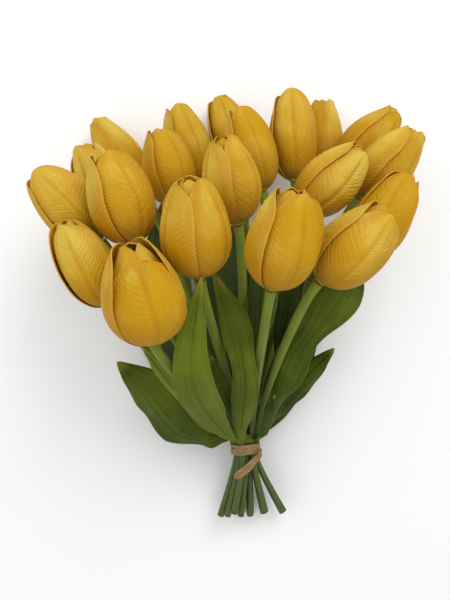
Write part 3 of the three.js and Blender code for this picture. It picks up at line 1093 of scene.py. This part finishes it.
LEAVES = [
    Leaf(
        "left_broad", [(-13, -108, 30), (-33, -98, 38), (-55, -70, 47), (-80, -46, 57)],
        (110, 95), 180, half_width=23, broad_at=0.46, fold=35, wave=1.8, taper=0.9,
    ),
    Leaf(
        "left_back", [(-3, -103, 48), (-20, -80, 68), (-38, -56, 87), (-56, -30, 103)],
        (125, 118), 143, half_width=9, broad_at=0.6, fold=25, wave=0.8,
    ),
    Leaf(
        "left_low", [(-12, -100, 22), (-38, -74, 20), (-54, -36, 20)],
        (240, 250), 207, half_width=12, broad_at=0.5, fold=25, wave=1,
    ),
    Leaf(
        "front_tall", [(6, -102, 61), (-9, -80, 95), (-18, -58, 122), (-21, -36, 135), (-14, 14, 144)],
        (92, 90), 105, half_width=13, broad_at=0.52, fold=20, wave=1, taper=1.5,
    ),
    Leaf(
        "front_middle",
        [(13, -100, 59), (12, -82, 77.5), (14, -60, 95), (12, -42, 106), (7, -18, 109), (-6, 16, 110)],
        (90, 90), 79, half_width=11.5, broad_at=0.68, fold=15, wave=1, notch=(0.6, 0.3),
    ),
    Leaf(
        "front_curly", [(3.5, -74, 71.5), (-3.5, -54, 88.5), (-9, -37, 102)],
        (80, 60), 120, half_width=4.5, broad_at=0.6, fold=35, wave=1, on=9, at=0.27,
    ),
    Leaf(
        "front_small", [(27.3, -102, 53), (30.4, -86, 67), (34.4, -66, 83)],
        (75, 80), 54, half_width=4.5, broad_at=0.4, fold=30, wave=0.5,
    ),
    Leaf(
        "right_broad",
        [(32, -100, 43), (40, -68, 62), (49, -38, 79), (61, -18, 87), (74, 6, 96.5), (86, 32, 105)],
        (98, 92), 26, half_width=22, broad_at=0.78, fold=20, wave=1.8, taper=1.6, notch=(0.61, 0.5),
    ),
    Leaf(
        "right_narrow", [(34, -101, 30), (47, -74, 40), (66, -53, 46), (82, -36, 51)],
        (75, 100), -5, half_width=12, broad_at=0.5, fold=30, wave=1,
    ),
    Leaf(
        "right_low", [(37, -99, 20), (54, -68, 19), (70, -25, 22)],
        (300, 285), 332, half_width=9, broad_at=0.5, fold=25, wave=1,
    ),
    Leaf(
        "inner_tall", [(21, -80, 50), (22, -56, 66), (24, -10, 84), (25, 20, 81), (26, 68, 74)],
        (85, 70), 80, half_width=8, broad_at=0.6, fold=20, wave=0.8, on=16, at=0.12,
    ),
    Leaf(
        "inner_right", [(42, -30, 54), (47, 0, 66), (52, 45, 80)],
        (85, 80), 85, half_width=9, broad_at=0.6, fold=20, wave=0.8, on=18, at=0.35,
    ),
    Leaf(
        "under_left", [(-9, -93, 8), (-35, -58, 5), (-47, -10, 6), (-50, 35, 7), (-51, 82, 9)],
        (270, 268), 233, half_width=20, broad_at=0.6, fold=20, wave=0.5,
    ),
    Leaf(
        "under_middle", [(15, -90, 7), (11, -45, 4), (8, 5, 4), (10, 66, 5)],
        (270, 270), 270, half_width=28, broad_at=0.6, fold=20, wave=0.5,
    ),
    Leaf(
        "under_right", [(36, -92, 8), (51, -55, 6), (60, -10, 8), (70, 45, 9)],
        (270, 272), 306, half_width=17.5, broad_at=0.55, fold=20, wave=0.5,
    ),
    Leaf(
        "inner_left", [(13, -46, 49), (11, -22, 55), (10, 6, 61), (11, 36, 68), (12, 60, 71)],
        (270, 270), 270, half_width=14, broad_at=0.6, fold=15, wave=0.8, on=12, at=0.3,
    ),
]


@dataclass(frozen=True)
class Bundle:
    """The stems' honeycomb in the tie, and the lines that they take from there."""

    middle: tuple[float, float, float] = (16, -116, 28)
    rise: float = 16
    swing: float = -4
    width: float = 9.5
    askew: float = 0.4
    rows: tuple[int, ...] = (2, 3, 4, 3, 4, 3, 2)
    neck: float = 3.3
    waist: float = 2.35
    foot: float = 2.7
    cut_behind: float = 64
    cut_beside: float = -3
    cut_slant: float = 0.36
    cut_spread: float = 2.2
    cut_stray: float = 0.3
    cut_lift: float = 1.1
    cut_flat: float = 0.4
    cut_uneven: float = 4
    straight: float = 2
    swells_at: float = 0.15
    swells_over: float = 0.65
    fan_cut: float = 0.15
    fan_start: float = 0.1
    fan_end: float = 0.15

    WALLS = 24  # flat sides of the tight outline
    GRAZING = 0.1  # a ray this near to a wall's own direction misses it

    @cached_property
    def axis(self) -> Array:
        """The way the stems run through the tie."""
        return aim(self.swing, self.rise)

    @property
    def pitch(self) -> float:
        """The distance between neighbouring stems in the tie."""
        return 2 * self.waist + CLEARANCE

    def slot(self, tulip: Tulip) -> tuple[float, float]:
        """A stem's place in the tie.

        Args:
            tulip: its tulip.

        Returns:
            How far it lies across the tie and up it.
        """
        row, place = tulip.slot
        across = (place - (self.rows[row] - 1) / 2) * self.pitch
        return across, (row - (len(self.rows) - 1) / 2) * self.pitch * math.sin(math.radians(60))

    def point(self, across: float, up: float, along: float) -> Array:
        """A point by its distances across, up and along the tie."""
        return vec(*self.middle) + frame_along(self.axis) @ vec(-across, up, along + self.askew * up)

    def reach(self, bearing: float) -> float:
        """How far the bundle reaches from its middle, square to a bearing in radians."""
        slots = [self.slot(tulip) for tulip in TULIPS]
        return max(a * math.cos(bearing) + u * math.sin(bearing) for a, u in slots) + self.waist

    def radius(self, bearing: float, offset: float) -> float:
        """Where a ray leaves the tight outline round the bundle.

        Args:
            bearing: the way of the ray, in radians.
            offset: how far the outline stands off the stems.

        Returns:
            The distance from the middle.
        """
        angles = [i * 2 * math.pi / self.WALLS for i in range(self.WALLS)]
        ahead = [(math.cos(bearing - angle), self.reach(angle) + offset) for angle in angles]
        return min(reach / facing for facing, reach in ahead if facing > self.GRAZING)

    def stem_radius(self, share: Array | float) -> Array | float:
        """A stem's radius at a share of the way from the tie to its head."""
        return mix(self.waist, self.neck, smooth((np.asarray(share) - self.swells_at) / self.swells_over))

    def stem_parts(self, tulip: Tulip) -> list[list[Array]]:
        """The control points of a stem's three parts: to the tie, through it, to the head.

        Args:
            tulip: its tulip.

        Returns:
            Three lists of points.
        """
        across, up = self.slot(tulip)
        half = self.width / 2 + self.straight
        below, above = self.point(across, up, -half), self.point(across, up, half)
        height = self.foot - self.cut_flat + tulip.slot[0] * self.pitch * self.cut_lift
        aside = self.cut_beside + across * self.cut_spread + self.cut_stray * max(0.0, across) ** 2
        back = self.cut_slant * height + self.cut_uneven * scatter(tulip.number, 7) - self.cut_behind
        cut = vec(self.middle[0] + aside, self.middle[1] + back, height)
        base = vec(*tulip.base) - tulip.axis * CLEARANCE
        drop, span = np.linalg.norm(cut - below), np.linalg.norm(base - above)
        bend = below - self.axis * drop * self.fan_cut
        leave, arrive = above + self.axis * span * self.fan_start, base - tulip.axis * span * self.fan_end
        return [[cut, bend, below], [below, above], [above, leave, arrive, base]]


def bezier(points: list[Array], share: Array) -> Array:
    """Points of a Bezier curve of any degree.

    Args:
        points: its control points.
        share: shares of the way along it, by its parameter.

    Returns:
        The points.
    """
    share = np.asarray(share, dtype=float)[..., None]
    layers = [np.broadcast_to(point, share.shape[:-1] + (3,)) for point in points]
    while len(layers) > 1:
        layers = [mix(a, b, share) for a, b in zip(layers, layers[1:])]
    return layers[0]


# ---------------------------------------------------------------- flower heads


@dataclass(frozen=True)
class Petal:
    """One petal of a head, in the head's frame, where the head's axis is +Z."""

    tulip: Tulip
    inner: bool
    place: int

    THICKNESS = 0.8
    FOOT = CLEARANCE + 1.2  # how far up the axis its root lies
    BELLY_AT = 0.42  # the height of its broadest place, as a share
    BELLY_ROW = 0.45  # the row of its grid that lies there, as a share
    FIRST_ROW = 0.05
    HALF_ANGLE, INNER_HALF_ANGLE = math.radians(62), math.radians(57)
    TIP_FLAT, INNER_TIP_FLAT = 1.35, 1.1  # how much flatter than the bloom it is at its tip
    LEAN_IN = 1.8
    TAPER, BLUNT = 3.2, 0.8
    NEST, RAISED, CLOSED = 0.84, 2.0, 0.5  # what sets an inner petal off from an outer one
    OVERLAP = 1.0  # how far an outer petal's edges step over and under the next ones
    UNEVEN_TURN, UNEVEN_LENGTH, UNEVEN_GAPE = 4.0, 0.05, 0.08
    RAGGED = 0.02
    CREASE, CREASE_WIDTH = 0.6, 0.07
    SHOULDER, SHOULDER_AT, SHOULDER_WIDTH = 0.4, 0.18, 0.09
    WRINKLE, WRINKLE_PITCH, WRINKLE_SLANT = 0.34, 3.4, 4.5
    FOLD, CURL, LIP = 0.45, 0.35, 0.3

    @property
    def seed(self) -> int:
        """A number of its own."""
        return self.tulip.number * 6 + (3 if self.inner else 0) + self.place

    @property
    def bearing(self) -> float:
        """The way that it faces about the head's axis, in radians from +Y towards +X."""
        turned = self.place * 120 + (60 if self.inner else 0)
        return math.radians(turned + self.UNEVEN_TURN * (scatter(self.seed, 1) - 0.5))

    def surface(self, s: Array, t: Array) -> Array:
        """Points of its middle surface.

        Args:
            s: shares from root to tip.
            t: -1 to 1 across, from the right edge to the left one.

        Returns:
            The points in the head's frame, in millimetres.
        """
        seed, tulip = self.seed, self.tulip
        belly = tulip.belly * (self.NEST if self.inner else 1)
        foot = self.FOOT + (self.RAISED if self.inner else 0)
        dipped = tulip.dip if self.place == 0 and not self.inner else 0
        reach = tulip.length * (1 - self.UNEVEN_LENGTH * scatter(seed, 3) - dipped) - foot
        gape = tulip.gape + self.UNEVEN_GAPE * (scatter(seed, 4) - 0.5)
        gape *= self.CLOSED if self.inner else 1
        turn = np.minimum(s / self.BELLY_ROW, 1) * math.pi / 2
        u = np.maximum(0, (s - self.BELLY_ROW) / (1 - self.BELLY_ROW))
        cup = np.where(u > 0, 1 - (1 - gape) * u**self.LEAN_IN, np.sin(turn))
        height = np.where(u > 0, mix(self.BELLY_AT, 1, u), self.BELLY_AT * (1 - np.cos(turn)))
        narrowing = np.where(u > 0, np.maximum(0, 1 - u**self.TAPER) ** self.BLUNT, cup)
        arc = narrowing * (self.INNER_HALF_ANGLE if self.inner else self.HALF_ANGLE)
        ragged = 1 + self.RAGGED * np.sin(19 * s + 3 * seed + np.sign(t)) * smooth((s - 0.5) / 0.3)
        roundness = cup * mix(1, self.INNER_TIP_FLAT if self.inner else self.TIP_FLAT, u)
        angle = -arc * t * ragged / roundness
        over = 0 if self.inner else self.OVERLAP * (t - 0.5) * smooth(s / 0.12)
        out = belly * (cup - roundness * (1 - np.cos(angle))) + over * np.cos(angle)
        aside = belly * roundness * np.sin(angle) + over * np.sin(angle)
        sine, cosine = math.sin(self.bearing), math.cos(self.bearing)
        x, y = aside * cosine + out * sine, out * cosine - aside * sine
        return np.stack([x, y, foot + reach * height], axis=-1)

    def relief(self, s: Array, t: Array) -> Array:
        """How far its outer face stands proud: crease, folds, wrinkles and curled edges.

        Args:
            s: shares from root to tip.
            t: -1 to 1 across, from the right edge to the left one.

        Returns:
            The heights in millimetres.
        """
        seed, aside = self.seed, np.abs(t)
        grown, fades, faded = smooth((s - 0.1) / 0.25), smooth((1.05 - s) / 0.3), smooth((1 - s) / 0.16)
        shoulders = self.SHOULDER * bump_at(aside, self.SHOULDER_AT, self.SHOULDER_WIDTH)
        crease = shoulders - self.CREASE * bump_at(t, 0, self.CREASE_WIDTH)
        waver = 0.35 * np.sin(4 * t + 7 * s + seed)
        run = s * self.tulip.length / self.WRINKLE_PITCH - self.WRINKLE_SLANT * aside + waver
        patch = 0.5 + 0.5 * np.sin(9 * s + 5 * t + 2.3 * seed)
        between = smooth(aside / 0.12) * smooth((0.95 - aside) / 0.2)
        wrinkles = self.WRINKLE * patch * np.sin(2 * math.pi * run) * between
        folds = self.FOLD * np.sin(6.5 * t + 2.5 * s + 1.7 * seed) * smooth(s / 0.6)
        curled = self.CURL * np.where(t > 0, scatter(seed, 11), scatter(seed, 12))
        curl = curled * smooth((aside - 0.72) / 0.28) * smooth((s - 0.45) / 0.35)
        lip = self.LIP * scatter(seed, 13) * smooth((s - 0.86) / 0.14)
        return grown * (crease * fades + faded * (wrinkles + folds)) + curl + lip


@dataclass(frozen=True)
class Head:
    """A closed bloom: three outer and three inner petals on a small receptacle."""

    tulip: Tulip

    RECEPTACLE = ((0, 0), (2.6, 0), (4.2, 1.2), (5.1, 3), (5, 5), (3.3, 7.5), (0, 8.5))  # radius, height
    CUP_FACES, SHOWN_FACES, HIDDEN_FACES = (24, 12), (40, 64), (18, 30)
    HIDDEN_BELOW = -0.35  # how far down a petal may face and still be seen

    @cached_property
    def frame(self) -> Array:
        """The rotation of the head's frame.

        Returns:
            Its matrix.
        """
        turn = math.radians(self.tulip.turn)
        spin = [[math.cos(turn), -math.sin(turn), 0], [math.sin(turn), math.cos(turn), 0], [0, 0, 1]]
        return frame_along(self.tulip.axis) @ np.array(spin)

    def settled(self, surface: Surface) -> Surface:
        """A surface of the head's frame, carried into the design frame."""
        return lambda s, t: surface(s, t) @ self.frame.T + np.array(self.tulip.base)

    def shown(self, petal: Petal) -> bool:
        """Whether a petal faces the front of the bunch."""
        outward = self.frame @ vec(math.sin(petal.bearing), math.cos(petal.bearing), 0)
        return not petal.inner and outward[2] > self.HIDDEN_BELOW

    def petal(self, inner: bool, place: int) -> Piece:
        """Makes one petal.

        Args:
            inner: whether it belongs to the inner three.
            place: which of the three it is.

        Returns:
            The petal as an object.
        """
        petal = Petal(self.tulip, inner, place)
        return sheet(
            f"petal_{petal.seed}",
            self.SHOWN_FACES if self.shown(petal) else self.HIDDEN_FACES,
            self.settled(petal.surface),
            petal.relief,
            Petal.THICKNESS,
            first=Petal.FIRST_ROW,
            tone=scatter(petal.seed, 21),
            nested=float(inner),
        )

    def receptacle(self) -> Piece:
        """Makes the small cup that the petals grow from.

        Returns:
            The cup.
        """
        radii, heights = zip(*self.RECEPTACLE)

        def skin(s: Array, angle: Array) -> Array:
            """Points of the cup's skin.

            Args:
                s: shares along it.
                angle: turns round it, in radians.

            Returns:
                The points.
            """
            at = s * (len(radii) - 1)
            radius = np.interp(at, range(len(radii)), radii)
            height = np.interp(at, range(len(heights)), heights)
            return np.stack([radius * np.cos(angle), radius * np.sin(angle), height], axis=-1)

        cup = tube("receptacle", self.CUP_FACES, self.settled(skin))
        set_tint(cup)
        return cup

    def build(self, palette: Palette) -> None:
        """Makes the whole head.

        Args:
            palette: the finishes.
        """
        petals = [self.petal(inner, place) for inner in (False, True) for place in range(3)]
        head = joined(f"bloom_{self.tulip.label}", [*petals, self.receptacle()])
        finish_piece(head, f"head_{self.tulip.label}", [palette.petal])


# ---------------------------------------------------------------- stems


@dataclass(frozen=True)
class Stem:
    """A stem, from its cut end through the tie to its head."""

    tulip: Tulip
    bundle: Bundle

    FACES = (20, 72)
    SAMPLES = 40  # points for each of its three parts
    SLIM = 0.97  # its radius beside its solid's
    SWELL = 0.5  # how much wider it is right under the head
    RIBBED = 0.02

    @cached_property
    def line(self) -> Line:
        """Its middle line.

        Returns:
            The line, from the cut end to the head.
        """
        share = np.linspace(0, 1, self.SAMPLES)
        parts = [bezier(points, share) for points in self.bundle.stem_parts(self.tulip)]
        return Line(np.concatenate([parts[0][:-1], parts[1][:-1], parts[2]]))

    def radius(self, share: Array) -> Array:
        """Its radius: drawn in at the tie and full under the head.

        Args:
            share: shares of its length.

        Returns:
            The radii.
        """
        tie_starts, tie_ends = self.line.shares[[self.SAMPLES - 1, 2 * self.SAMPLES - 2]]
        upper = self.bundle.stem_radius((share - tie_ends) / (1 - tie_ends))
        lower = mix(self.bundle.foot, self.bundle.waist, np.minimum(1, share / tie_starts))
        swell = self.SWELL * smooth((share - 0.97) / 0.03)
        return self.SLIM * (np.where(share < tie_starts, lower, upper) + swell)

    def skin(self, share: Array, angle: Array) -> Array:
        """Points of its skin, faintly ribbed.

        Args:
            share: shares of its length.
            angle: turns round it, in radians.

        Returns:
            The points.
        """
        along = self.line.direction(share)
        up = unit(vec(0, 0, 1) - along * along[:, 2:])
        across = np.cross(up, along)
        ribbed = 1 + self.RIBBED * np.sin(5 * angle + 6 * share + self.tulip.number)
        radius = (self.radius(share) * ribbed)[:, None]
        return self.line.at(share) + radius * (across * np.cos(angle)[:, None] + up * np.sin(angle)[:, None])

    def build(self, palette: Palette) -> None:
        """Makes the stem.

        Args:
            palette: the finishes.
        """
        stem = tube(f"stalk_{self.tulip.label}", self.FACES, self.skin)
        cap_ends()
        finish_piece(stem, f"stem_{self.tulip.label}", [palette.stem, palette.cut])


# ---------------------------------------------------------------- leaves


@dataclass(frozen=True)
class Blade:
    """A leaf's blade, drawn out along its midrib from the bundle or from a stem."""

    leaf: Leaf
    bundle: Bundle

    THICKNESS = 0.8
    ROOT_HALF = 3.0
    ROOT_OFFSET = 2 * CLEARANCE + 0.45  # how far its root stands off the stems
    CLASP = 12.0  # the radius that it bends to round the bundle
    ABOVE_TIE = 1.5
    STRAIGHT = 3  # how far it first follows the stems
    TURNED = 0.4  # the share up by which it faces its own way
    TOP_TAPER = 0.9
    NOTCH_WIDTH = 0.13
    UNDER_WIDER = 1.14  # a leaf under the bunch, beside its solid, widened to fill the gaps under the blooms with leaf painted in shade
    CHANNEL, CHANNEL_WIDTH = 0.5, 0.06
    PLEAT, FOLD, RIPPLE = 0.18, 0.3, 0.7
    FULL_RIPPLE = 14  # the half width from which a leaf has its whole ripple
    COLUMNS, ROW, FEWEST_ROWS = 28, 1.6, 40

    @cached_property
    def root(self) -> tuple[Array, Array, float]:
        """Where and how it starts.

        Returns:
            Its first point, the way that it starts, and the radius that it clasps there.
        """
        leaf, bundle = self.leaf, self.bundle
        bearing = math.radians(leaf.around)
        if leaf.on:
            upper = bundle.stem_parts(TULIPS[leaf.on - 1])[2]
            here, ahead = bezier(upper, leaf.at), bezier(upper, leaf.at + 0.001)
            along = unit(ahead - here)
            outward = vec(math.cos(bearing), 0, math.sin(bearing))
            outward = unit(outward - along * outward.dot(along))
            radius = float(bundle.stem_radius(leaf.at)) + self.ROOT_OFFSET
            return here + outward * radius, along, radius
        reach = bundle.radius(bearing, self.ROOT_OFFSET)
        up = bundle.width / 2 + self.ABOVE_TIE
        start = bundle.point(reach * math.cos(bearing), reach * math.sin(bearing), up)
        return start, bundle.axis, self.CLASP

    @cached_property
    def midrib(self) -> Line:
        """The line of its midrib."""
        start, along, _ = self.root
        return curve_through([start, start + self.STRAIGHT * along, *(vec(*point) for point in self.leaf.path)])

    def half_width(self, s: Array) -> Array:
        """Half its width.

        Args:
            s: shares from root to tip.

        Returns:
            The half widths in millimetres.
        """
        leaf = self.leaf
        below = s < leaf.broad_at
        share = np.where(below, s / leaf.broad_at / 2, 0.5 + (s - leaf.broad_at) / (1 - leaf.broad_at) / 2)
        taper = np.where(below, leaf.taper, self.TOP_TAPER)
        full = leaf.half_width * np.maximum(0, np.sin(math.pi * share)) ** taper
        notch_at, depth = leaf.notch
        drawn_in = 1 - depth * bump_at(s, notch_at, self.NOTCH_WIDTH)
        return mix(self.ROOT_HALF, full * drawn_in, smooth(s / 0.25))

    def surface(self, s: Array, t: Array) -> Array:
        """Points of its middle surface: an arc across the midrib, with waved edges.

        Args:
            s: shares from root to tip.
            t: -1 to 1 across.

        Returns:
            The points in the design frame, in millimetres.
        """
        leaf, seed = self.leaf, self.leaf.number
        middle, tip = leaf.face
        early = mix(leaf.around, middle, smooth(s / self.TURNED))
        late = mix(middle, tip, (s - self.TURNED) / (1 - self.TURNED))
        facing = np.radians(np.where(s < self.TURNED, early, late))
        along = self.midrib.direction(s)
        outward = np.stack([np.cos(facing), np.zeros_like(facing), np.sin(facing)], axis=-1)
        outward = unit(outward - along * np.sum(outward * along, axis=-1, keepdims=True))
        side = np.cross(along, outward)
        half = np.maximum(0.01, self.half_width(s)) * (self.UNDER_WIDER if leaf.under else 1)
        bend = mix(half / self.root[2], math.radians(leaf.fold), smooth(s / 0.3))
        wave = leaf.wave * np.sin(9 * s + 2 * seed + np.where(t > 0, 1.5, 0)) * t * t * smooth(s / 0.3)
        aside = half / bend * np.sin(bend * t)
        lift = half / bend * (np.cos(bend * t) - 1) + wave
        return self.midrib.at(s) + side * aside[:, None] + outward * lift[:, None]

    def relief(self, s: Array, t: Array) -> Array:
        """How far its outer face stands proud: the channel over the midrib and rippled edges.

        Args:
            s: shares from root to tip.
            t: -1 to 1 across.

        Returns:
            The heights in millimetres.
        """
        seed, aside = self.leaf.number, np.abs(t)
        grown = smooth((s - 0.08) / 0.2) * smooth((1 - s) / 0.1)
        channel = -self.CHANNEL * bump_at(t, 0, self.CHANNEL_WIDTH)
        pleats = self.PLEAT * np.sin(15 * t + 2 * np.sin(3 * s + seed)) + self.FOLD * np.sin(6 * t + 4 * s + seed)
        ripple = self.RIPPLE * np.sin(24 * s + 3 * seed + 2 * np.sign(t)) * smooth((aside - 0.6) / 0.4)
        return grown * (channel + pleats + ripple * min(1.0, self.leaf.half_width / self.FULL_RIPPLE))

    def build(self, palette: Palette) -> None:
        """Makes the leaf.

        Args:
            palette: the finishes.
        """
        name = self.leaf.name
        faces = self.COLUMNS, max(self.FEWEST_ROWS, int(self.midrib.length / self.ROW))
        # a leaf that the bunch lies over takes tone 0, which paints it in the leaf's shade colour; the others
        # take a random tone
        tone = 0.0 if self.leaf.shaded else scatter(self.leaf.number, 31)
        blade = sheet(f"blade_{name}", faces, self.surface, self.relief, self.THICKNESS, tone=tone)
        finish_piece(blade, f"leaf_{name}", [palette.leaf])


# ---------------------------------------------------------------- raffia


@dataclass(frozen=True)
class Raffia:
    """The turns of raffia round the stems and the loose bight beside them."""

    bundle: Bundle
    turns: int = 3
    turn_width: float = 3.5
    turn_thickness: float = 1.3
    ridge: float = 1.6
    bight_from: tuple[float, float] = (38, -3)
    bight_to: tuple[float, float] = (120, -22)
    bight_width: float = 3.2
    bight_thickness: float = 1.5
    bight_gap: float = 0.7
    bight_rise: float = 2.6
    bight_stand: float = 4 * CLEARANCE
    bight_turns_at: float = 0.9
    bight_steps: int = 9
    climb_from: float = 4
    climb_over: float = 3

    TURN_FACES, BIGHT_FACES = (28, 120), (28, 110)
    TURN_FIBRES, TURN_WAVER, TURN_SLANT = 0.1, 0.3, 0.5
    BIGHT_FIBRES = 0.09
    BEARINGS = 240  # where a turn's distance from the middle is measured
    SOFTENED = 25  # how many of them are averaged, so that it rounds the corners

    def turn(self, index: int) -> Piece:
        """Makes one turn, a flat strand closed on itself.

        Args:
            index: which turn it is.

        Returns:
            The turn.
        """
        bundle = self.bundle
        offset = CLEARANCE + self.turn_thickness / 2
        bearings = np.linspace(0, 2 * math.pi, self.BEARINGS + 1)
        reaches = np.array([bundle.radius(bearing, offset) for bearing in bearings[:-1]])
        window, beyond = np.hanning(self.SOFTENED), self.SOFTENED // 2
        padded = np.concatenate([reaches[-beyond:], reaches, reaches[:beyond]])
        soft = np.convolve(padded, window / window.sum(), mode="valid")
        along = (index - (self.turns - 1) / 2) * (bundle.width - self.turn_width) / (self.turns - 1)

        def skin(s: Array, angle: Array) -> Array:
            """Points of the strand's skin.

            Args:
                s: shares along it.
                angle: turns round it, in radians.

            Returns:
                The points.
            """
            bearing = 2 * math.pi * (s % 1)
            fibres = self.TURN_FIBRES * np.sin(7 * angle + 3 * np.sin(2 * bearing + index))
            thick = (self.turn_thickness / 2 + fibres) * np.sin(angle)
            wide = (self.turn_width / 2 + self.TURN_WAVER * np.sin(3 * bearing + 2 * index)) * np.cos(angle)
            reach = np.interp(bearing, bearings, np.append(soft, soft[0])) + thick
            slope = along + wide + self.TURN_SLANT * np.sin(bearing + 2.1 * index)
            points = [bundle.point(r * math.cos(b), r * math.sin(b), a) for r, b, a in zip(reach, bearing, slope)]
            return np.array(points)

        return tube(f"turn_{index}", self.TURN_FACES, skin)

    def bight_point(self, share: float, aside: float) -> Array:
        """A point of the bight's line.

        Args:
            share: how far on it lies, from the wrap to the end.
            aside: how far to one side.

        Returns:
            The point.
        """
        bundle = self.bundle
        bearing = math.radians(mix(self.bight_from[0], self.bight_to[0], share))
        along = mix(self.bight_from[1], self.bight_to[1], share) + aside
        climbed = float(smooth((along + bundle.width / 2 + self.climb_from) / self.climb_over))
        over = (self.ridge + CLEARANCE) * climbed
        lift = self.bight_stand + self.bight_thickness / 2 + over + self.bight_rise * share
        reach = bundle.radius(bearing, lift)
        return bundle.point(reach * math.cos(bearing), reach * math.sin(bearing), along)

    def bight(self) -> Piece:
        """Makes the bight: a strand over the front, round its end and back beside itself.

        Returns:
            The bight, with open ends.
        """
        shares = [self.bight_turns_at * i / (self.bight_steps - 1) for i in range(self.bight_steps)]
        apart = (self.bight_width + self.bight_gap) / 2
        there = [self.bight_point(share, apart) for share in shares]
        back = [self.bight_point(share, -apart) for share in reversed(shares)]
        line = curve_through([*there, self.bight_point(1, 0), *back])
        middle, axis = vec(*self.bundle.middle), self.bundle.axis

        def skin(s: Array, angle: Array) -> Array:
            """Points of the strand's skin.

            Args:
                s: shares along it.
                angle: turns round it, in radians.

            Returns:
                The points.
            """
            at, along = line.at(s), line.direction(s)
            outward = at - middle
            outward = outward - axis * (outward @ axis)[:, None]
            outward = unit(outward - along * np.sum(outward * along, axis=-1, keepdims=True))
            side = np.cross(outward, along)
            fibres = 1 + self.BIGHT_FIBRES * np.sin(8 * angle + 4 * np.sin(9 * s))
            wide = (self.bight_width / 2 * fibres * np.cos(angle))[:, None]
            thick = (self.bight_thickness / 2 * fibres * np.sin(angle))[:, None]
            return at + side * wide + outward * thick

        return tube("raffia_bight", self.BIGHT_FACES, skin)

    def build(self, palette: Palette) -> None:
        """Makes the tie: the wrapped turns and the bight.

        Args:
            palette: the finishes.
        """
        wrap = joined("raffia_wrap", [self.turn(index) for index in range(self.turns)])
        chosen(wrap)
        face_outwards()
        finish_piece(wrap, "tie_wrap", [palette.raffia])
        bight = self.bight()
        cap_ends()
        finish_piece(bight, "tie_loop", [palette.raffia, palette.raffia])


# ---------------------------------------------------------------- studio


@dataclass(frozen=True)
class Lamp:
    """A square soft light that looks at the middle of the bunch."""

    name: str
    place: tuple[float, float, float]
    size: float
    power: float

    TARGET = (0, 0, 0.06)

    def build(self) -> None:
        """Adds the light."""
        lamp = bpy.data.lights.new(self.name, "AREA")
        lamp.size, lamp.energy = self.size, self.power
        holder = bpy.data.objects.new(self.name, lamp)
        holder.location = self.place
        towards = Vector(self.TARGET) - Vector(self.place)
        holder.rotation_euler = towards.to_track_quat("-Z", "Y").to_euler()
        bpy.context.collection.objects.link(holder)


@dataclass(frozen=True)
class Studio:
    """A pale floor, soft light from above and a camera over the design frame's zero."""

    camera_height: float = 0.5
    lens: float = 36
    sensor: float = 36
    floor_size: float = 6
    sky: float = 0.77
    lamps: tuple[Lamp, ...] = (
        Lamp("key", (0.3, 0.6, 0.9), 0.6, 5.0),
        Lamp("fill", (-0.7, 0.1, 0.8), 0.9, 1.5),
    )

    def build(self) -> None:
        """Sets up the floor, the light and the camera."""
        bpy.ops.object.select_all(action="DESELECT")
        bpy.ops.mesh.primitive_plane_add(size=self.floor_size)
        floor = bpy.context.object
        floor.name = "floor"
        floor.data.materials.append(FloorFinish().build())
        for lamp in self.lamps:
            lamp.build()
        world = bpy.data.worlds.new("studio")
        world.use_nodes = True
        background = world.node_tree.nodes["Background"].inputs
        background["Color"].default_value, background["Strength"].default_value = (1, 1, 1, 1), self.sky
        bpy.context.scene.world = world
        camera = bpy.data.cameras.new("camera")
        camera.lens, camera.sensor_width, camera.sensor_fit = self.lens, self.sensor, "AUTO"
        holder = bpy.data.objects.new("camera", camera)
        holder.location = (*(-MIDDLE[:2] * MM), self.camera_height)
        bpy.context.collection.objects.link(holder)
        bpy.context.scene.camera = holder
        bpy.context.scene.view_settings.view_transform = "Standard"


# ---------------------------------------------------------------- main


def main() -> None:
    """Dresses the bunch and sets up the studio."""
    logging.basicConfig(level=logging.INFO, format="%(name)s: %(message)s")
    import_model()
    palette = Palette.mixed()
    bundle = Bundle()
    for tulip in TULIPS:
        Head(tulip).build(palette)
        Stem(tulip, bundle).build(palette)
    for leaf in LEAVES:
        Blade(leaf, bundle).build(palette)
    Raffia(bundle).build(palette)
    Studio().build()


if __name__ == "__main__":
    main()
